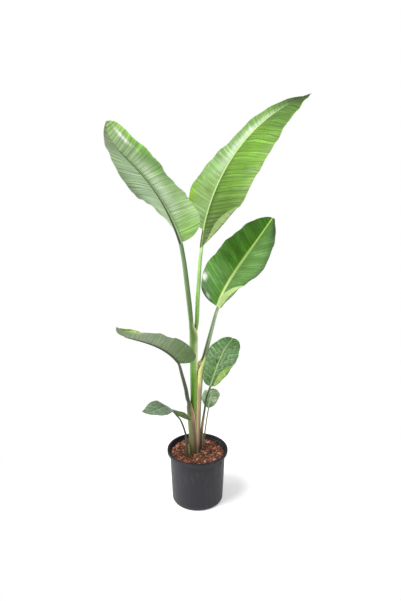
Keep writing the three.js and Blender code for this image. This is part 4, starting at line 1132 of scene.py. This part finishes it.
# Bark bed: a ramp of browns on two grains, with painted shade between lumps, and a near-black painted shade
# in the lowest hollows and down the hidden sides
def soilMaterial():
    s = soilShape
    material, tree, shader = newMaterial("bark and coir")
    place = objectPlace(tree)
    grain = useGroup(tree, grainGroup, place, Scale=s["grain"])
    cells = addNode(tree, "TexVoronoi", {"Vector": place, "Scale": s["cells"], "Randomness": 1.0})
    ramp = addNode(tree, "ValToRGB", {0: maths(tree, "ADD", times(tree, grain["Middle"], 0.6),
                                               times(tree, grain["Fine"], 0.4))})
    elements = ramp.color_ramp.elements
    while len(elements) < len(s["stops"]):
        elements.new(0.5)
    for element, (position, colour) in zip(elements, s["stops"]):
        element.position, element.color = position, rgba(colour)
    colour = scaled(tree, ramp.outputs[0], spread(tree, cells.outputs["Distance"], 0.8, 1.1))
    height = addNode(tree, "SeparateXYZ", {0: place}).outputs[2]
    feedShader(tree, shader, {
        "Base Color": blend(tree, remap(tree, height, *s["shadeBelow"]), rgba(s["deep"]), colour),
        "Normal": bump(tree, maths(tree, "ADD", grain["Middle"], grain["Fine"]), *s["bump"]),
        "Roughness": spread(tree, grain["Middle"], *s["rough"])})
    return material


# Chip: its painted tint, with a fine grain
def chipMaterial():
    c = chipShape
    material, tree, shader = newMaterial("bark chips")
    grain = useGroup(tree, grainGroup, objectPlace(tree), Scale=c["grain"])
    feedShader(tree, shader, {
        "Base Color": shade(tree, painted(tree, "tint")["Color"], grain["Fine"], c["grainShade"]),
        "Normal": bump(tree, grain["Fine"], *c["bump"]),
        "Roughness": spread(tree, grain["Middle"], *c["rough"])})
    return material


# The bed: a turned profile up to the rim of the bed, then rings inward over its lumpy top
def makeSoil():
    s = soilShape
    edge = innerWallAt(s["top"]) - s["gap"]
    radii = np.concatenate([np.linspace(edge, 0.4, s["rings"]), [0.0]])[:, None]
    angle = np.linspace(0, 2 * np.pi, s["segments"], endpoint=False)
    x, y = radii * np.cos(angle), radii * np.sin(angle)
    top = np.stack([x, y, soilHeight(x, y) - 2.0 * smooth((radii - edge + 5) / 5)], -1)
    side = [[innerWallAt(height) - s["gap"], height] for height in (12, 100)]
    foot = np.array([[0, 6.8], [innerWallAt(10) - 3.6, 6.8], *side, [edge, s["top"] - 9]])
    points = np.concatenate([turned(foot, s["segments"]), top])
    soil = meshPiece("soil_bed", points.reshape(-1, 3), ringQuads(*points.shape[:2]), soilMaterial(),
                     creaseAngle=70)
    finish(soil, "soil", "soil")


# Turns about one axis, a matrix for each angle: cosines at the other two axes, sines between them
def turnsAbout(axis, angle):
    one, two = (axis + 1) % 3, (axis + 2) % 3
    turns = np.zeros((len(angle), 3, 3))
    turns[:, axis, axis] = 1
    turns[:, one, one] = turns[:, two, two] = np.cos(angle)
    turns[:, two, one] = np.sin(angle)
    turns[:, one, two] = -turns[:, two, one]
    return turns


# Chips: a ball of twelve corners (plus or minus 1 and the golden ratio, on each pair of axes) squashed to
# a flake, its corners shaken, turned and laid on the bed
def makeChips():
    s, c = soilShape, chipShape
    draw = np.random.default_rng(c["seed"])
    golden = (1 + 5**0.5) / 2
    corners = np.array([[one, two, 0] for two in (golden, -golden) for one in (-1, 1)])
    corners = unit(np.concatenate([np.roll(corners, k, axis=1) for k in range(3)]))
    faces = np.array([
        [0, 11, 5], [0, 5, 1], [0, 1, 7], [0, 7, 10], [0, 10, 11], [1, 5, 9], [5, 11, 4], [11, 10, 2],
        [10, 7, 6], [7, 1, 8], [3, 9, 4], [3, 4, 2], [3, 2, 6], [3, 6, 8], [3, 8, 9], [4, 9, 5],
        [2, 4, 11], [6, 2, 10], [8, 6, 7], [9, 8, 1],
    ])
    wall = innerWallAt(s["top"])
    radius = (wall - 4) * np.sqrt(draw.random(c["count"]))
    around = 2 * np.pi * draw.random(c["count"])
    x, y = radius * np.cos(around), radius * np.sin(around)
    clear = np.all([np.hypot(x - stemX, y - stemY) > reach for stemX, stemY, reach in s["stems"]], axis=0)
    x, y = x[clear], y[clear]
    count = len(x)
    size = c["size"][0] + c["size"][1] * draw.random(count)**4
    stretch = np.stack([least + more * draw.random(count) for least, more in c["stretch"]], -1)
    stretch = stretch * size[:, None]
    room = wall - 1.5 - np.hypot(x, y)
    stretch *= np.minimum(1, room / stretch[:, 0])[:, None]
    shaken = corners[None] * (1 + c["shaken"][0] * (draw.random((count, 12, 1)) - 0.5))
    shaken = shaken + c["shaken"][1] * (draw.random((count, 12, 3)) - 0.5)
    spin = 2 * np.pi * draw.random(count)
    tip = c["tilt"] * (draw.random(count) - 0.5)
    roll = c["tilt"] * (draw.random(count) - 0.5)
    turn = turnsAbout(2, spin) @ turnsAbout(0, tip) @ turnsAbout(1, roll)
    local = np.einsum("nij,nkj->nki", turn, shaken * stretch[:, None, :])
    centre = np.stack([x, y, soilHeight(x, y) + 0.25 * size * draw.random(count)], -1)
    allFaces = faces[None] + 12 * np.arange(count)[:, None, None]
    pick = draw.choice(len(c["tints"]), count, p=c["shares"])
    patchy = 1 + 0.35 * waver(x + 0.6 * y, 21, 60) + 0.25 * waver(y - 0.5 * x, 22, 45)
    tint = linear(c["tints"])[pick] * (0.75 + 0.5 * draw.random((count, 1)))
    tint = tint * np.clip(patchy, 0.45, 1.6)[:, None] * c["brighter"]
    tint = np.repeat(np.concatenate([tint, np.ones((count, 1))], -1), 12, axis=0)
    chips = meshPiece("soil_chips", (local + centre[:, None]).reshape(-1, 3), allFaces.reshape(-1, 3),
                      chipMaterial(), {"tint": tint}, merge=False, creaseAngle=25)
    finish(chips, "soil", "soil")


makeSoil()
makeChips()
print("pot filled")

studio = {
    "floorColours": [(244, 244, 244), (240, 240, 240)],
    "floorGlow": 0.42,
    "floorReach": 60.0,
    "farFrom": [0.45, 0.9],      # the floor turns plain white between these distances from the pot
    "worldStrength": 0.42,
    "key": {"at": (-2.7, -1.9, 6.5), "size": 3.0, "power": 470.0, "aim": (0.0, 0.0, 0.7)},
    "fill": {"at": (-3.4, 0.2, 0.8), "size": 1.4, "power": 60.0, "aim": (0.0, 0.0, 0.2)},
}

view = {"at": (0.0119, -2.705, 1.9176), "down": 21.38, "focal": 788.6, "frameHeight": 601, "sensor": 36.0}
white = (1.0, 1.0, 1.0, 1.0)


# A wide pale floor that turns plain white away from the pot
def makeFloor():
    material, tree, shader = newMaterial("studio floor")
    place = objectPlace(tree)
    patchy = noise(tree, place, scale=3.0, detail=2.0, roughness=0.5)
    feedShader(tree, shader, {
        "Base Color": blend(tree, patchy, *(rgba(colour) for colour in studio["floorColours"])),
        "Roughness": 0.9, "Specular IOR Level": 0.1, "Emission Color": white,
        "Emission Strength": studio["floorGlow"]})
    distance = addNode(tree, "VectorMath", {0: place}, operation="LENGTH").outputs["Value"]
    far = times(tree, remap(tree, distance, *studio["farFrom"]),
                addNode(tree, "LightPath").outputs["Is Camera Ray"])
    plain = addNode(tree, "Emission", {"Color": white, "Strength": 1.0}).outputs[0]
    showSurface(tree, "MixShader", {0: far, 1: shader.outputs[0], 2: plain})
    mesh = bpy.data.meshes.new("floor")
    r = studio["floorReach"]
    mesh.from_pydata([(-r, -r, 0), (r, -r, 0), (r, r, 0), (-r, r, 0)], [], [(0, 1, 2, 3)])
    mesh.materials.append(material)
    floor = bpy.data.objects.new("floor", mesh)
    scene.collection.objects.link(floor)


# A round lamp turned so that its own downward axis meets what it aims at
def makeLight(name):
    give = studio[name]
    light = bpy.data.lights.new(name, "AREA")
    light.shape, light.size, light.energy = "DISK", give["size"], give["power"]
    lamp = bpy.data.objects.new(name, light)
    lamp.location = give["at"]
    x, y, z = np.array(give["aim"]) - np.array(give["at"])
    lamp.rotation_euler = (math.atan2(math.hypot(x, y), -z), 0.0, math.atan2(y, x) - math.pi / 2)
    scene.collection.objects.link(lamp)


# Soft light from all round, with plain white behind the plant
def makeWorld():
    world = bpy.data.worlds.new("studio")
    scene.world = world
    world.use_nodes = True
    tree = world.node_tree
    soft = tree.nodes["Background"]
    feedShader(tree, soft, {"Color": white, "Strength": studio["worldStrength"]})
    seen = addNode(tree, "Background", {"Color": white, "Strength": 1.0})
    cameraRay = addNode(tree, "LightPath").outputs["Is Camera Ray"]
    both = addNode(tree, "MixShader", {0: cameraRay, 1: soft.outputs[0], 2: seen.outputs[0]})
    tree.links.new(both.outputs[0], tree.nodes["World Output"].inputs["Surface"])


# The lens is the sensor times the focal length over the height of the frame, both in pixels
def makeCamera():
    lens = bpy.data.cameras.new("camera")
    lens.sensor_width = view["sensor"]
    lens.lens = view["sensor"] * view["focal"] / view["frameHeight"]
    camera = bpy.data.objects.new("camera", lens)
    camera.location = view["at"]
    camera.rotation_euler = (math.radians(90 - view["down"]), 0.0, 0.0)
    scene.collection.objects.link(camera)
    scene.camera = camera


makeFloor()
makeLight("key")
makeLight("fill")
makeWorld()
makeCamera()
scene.view_settings.view_transform = "Standard"
print("studio lit")
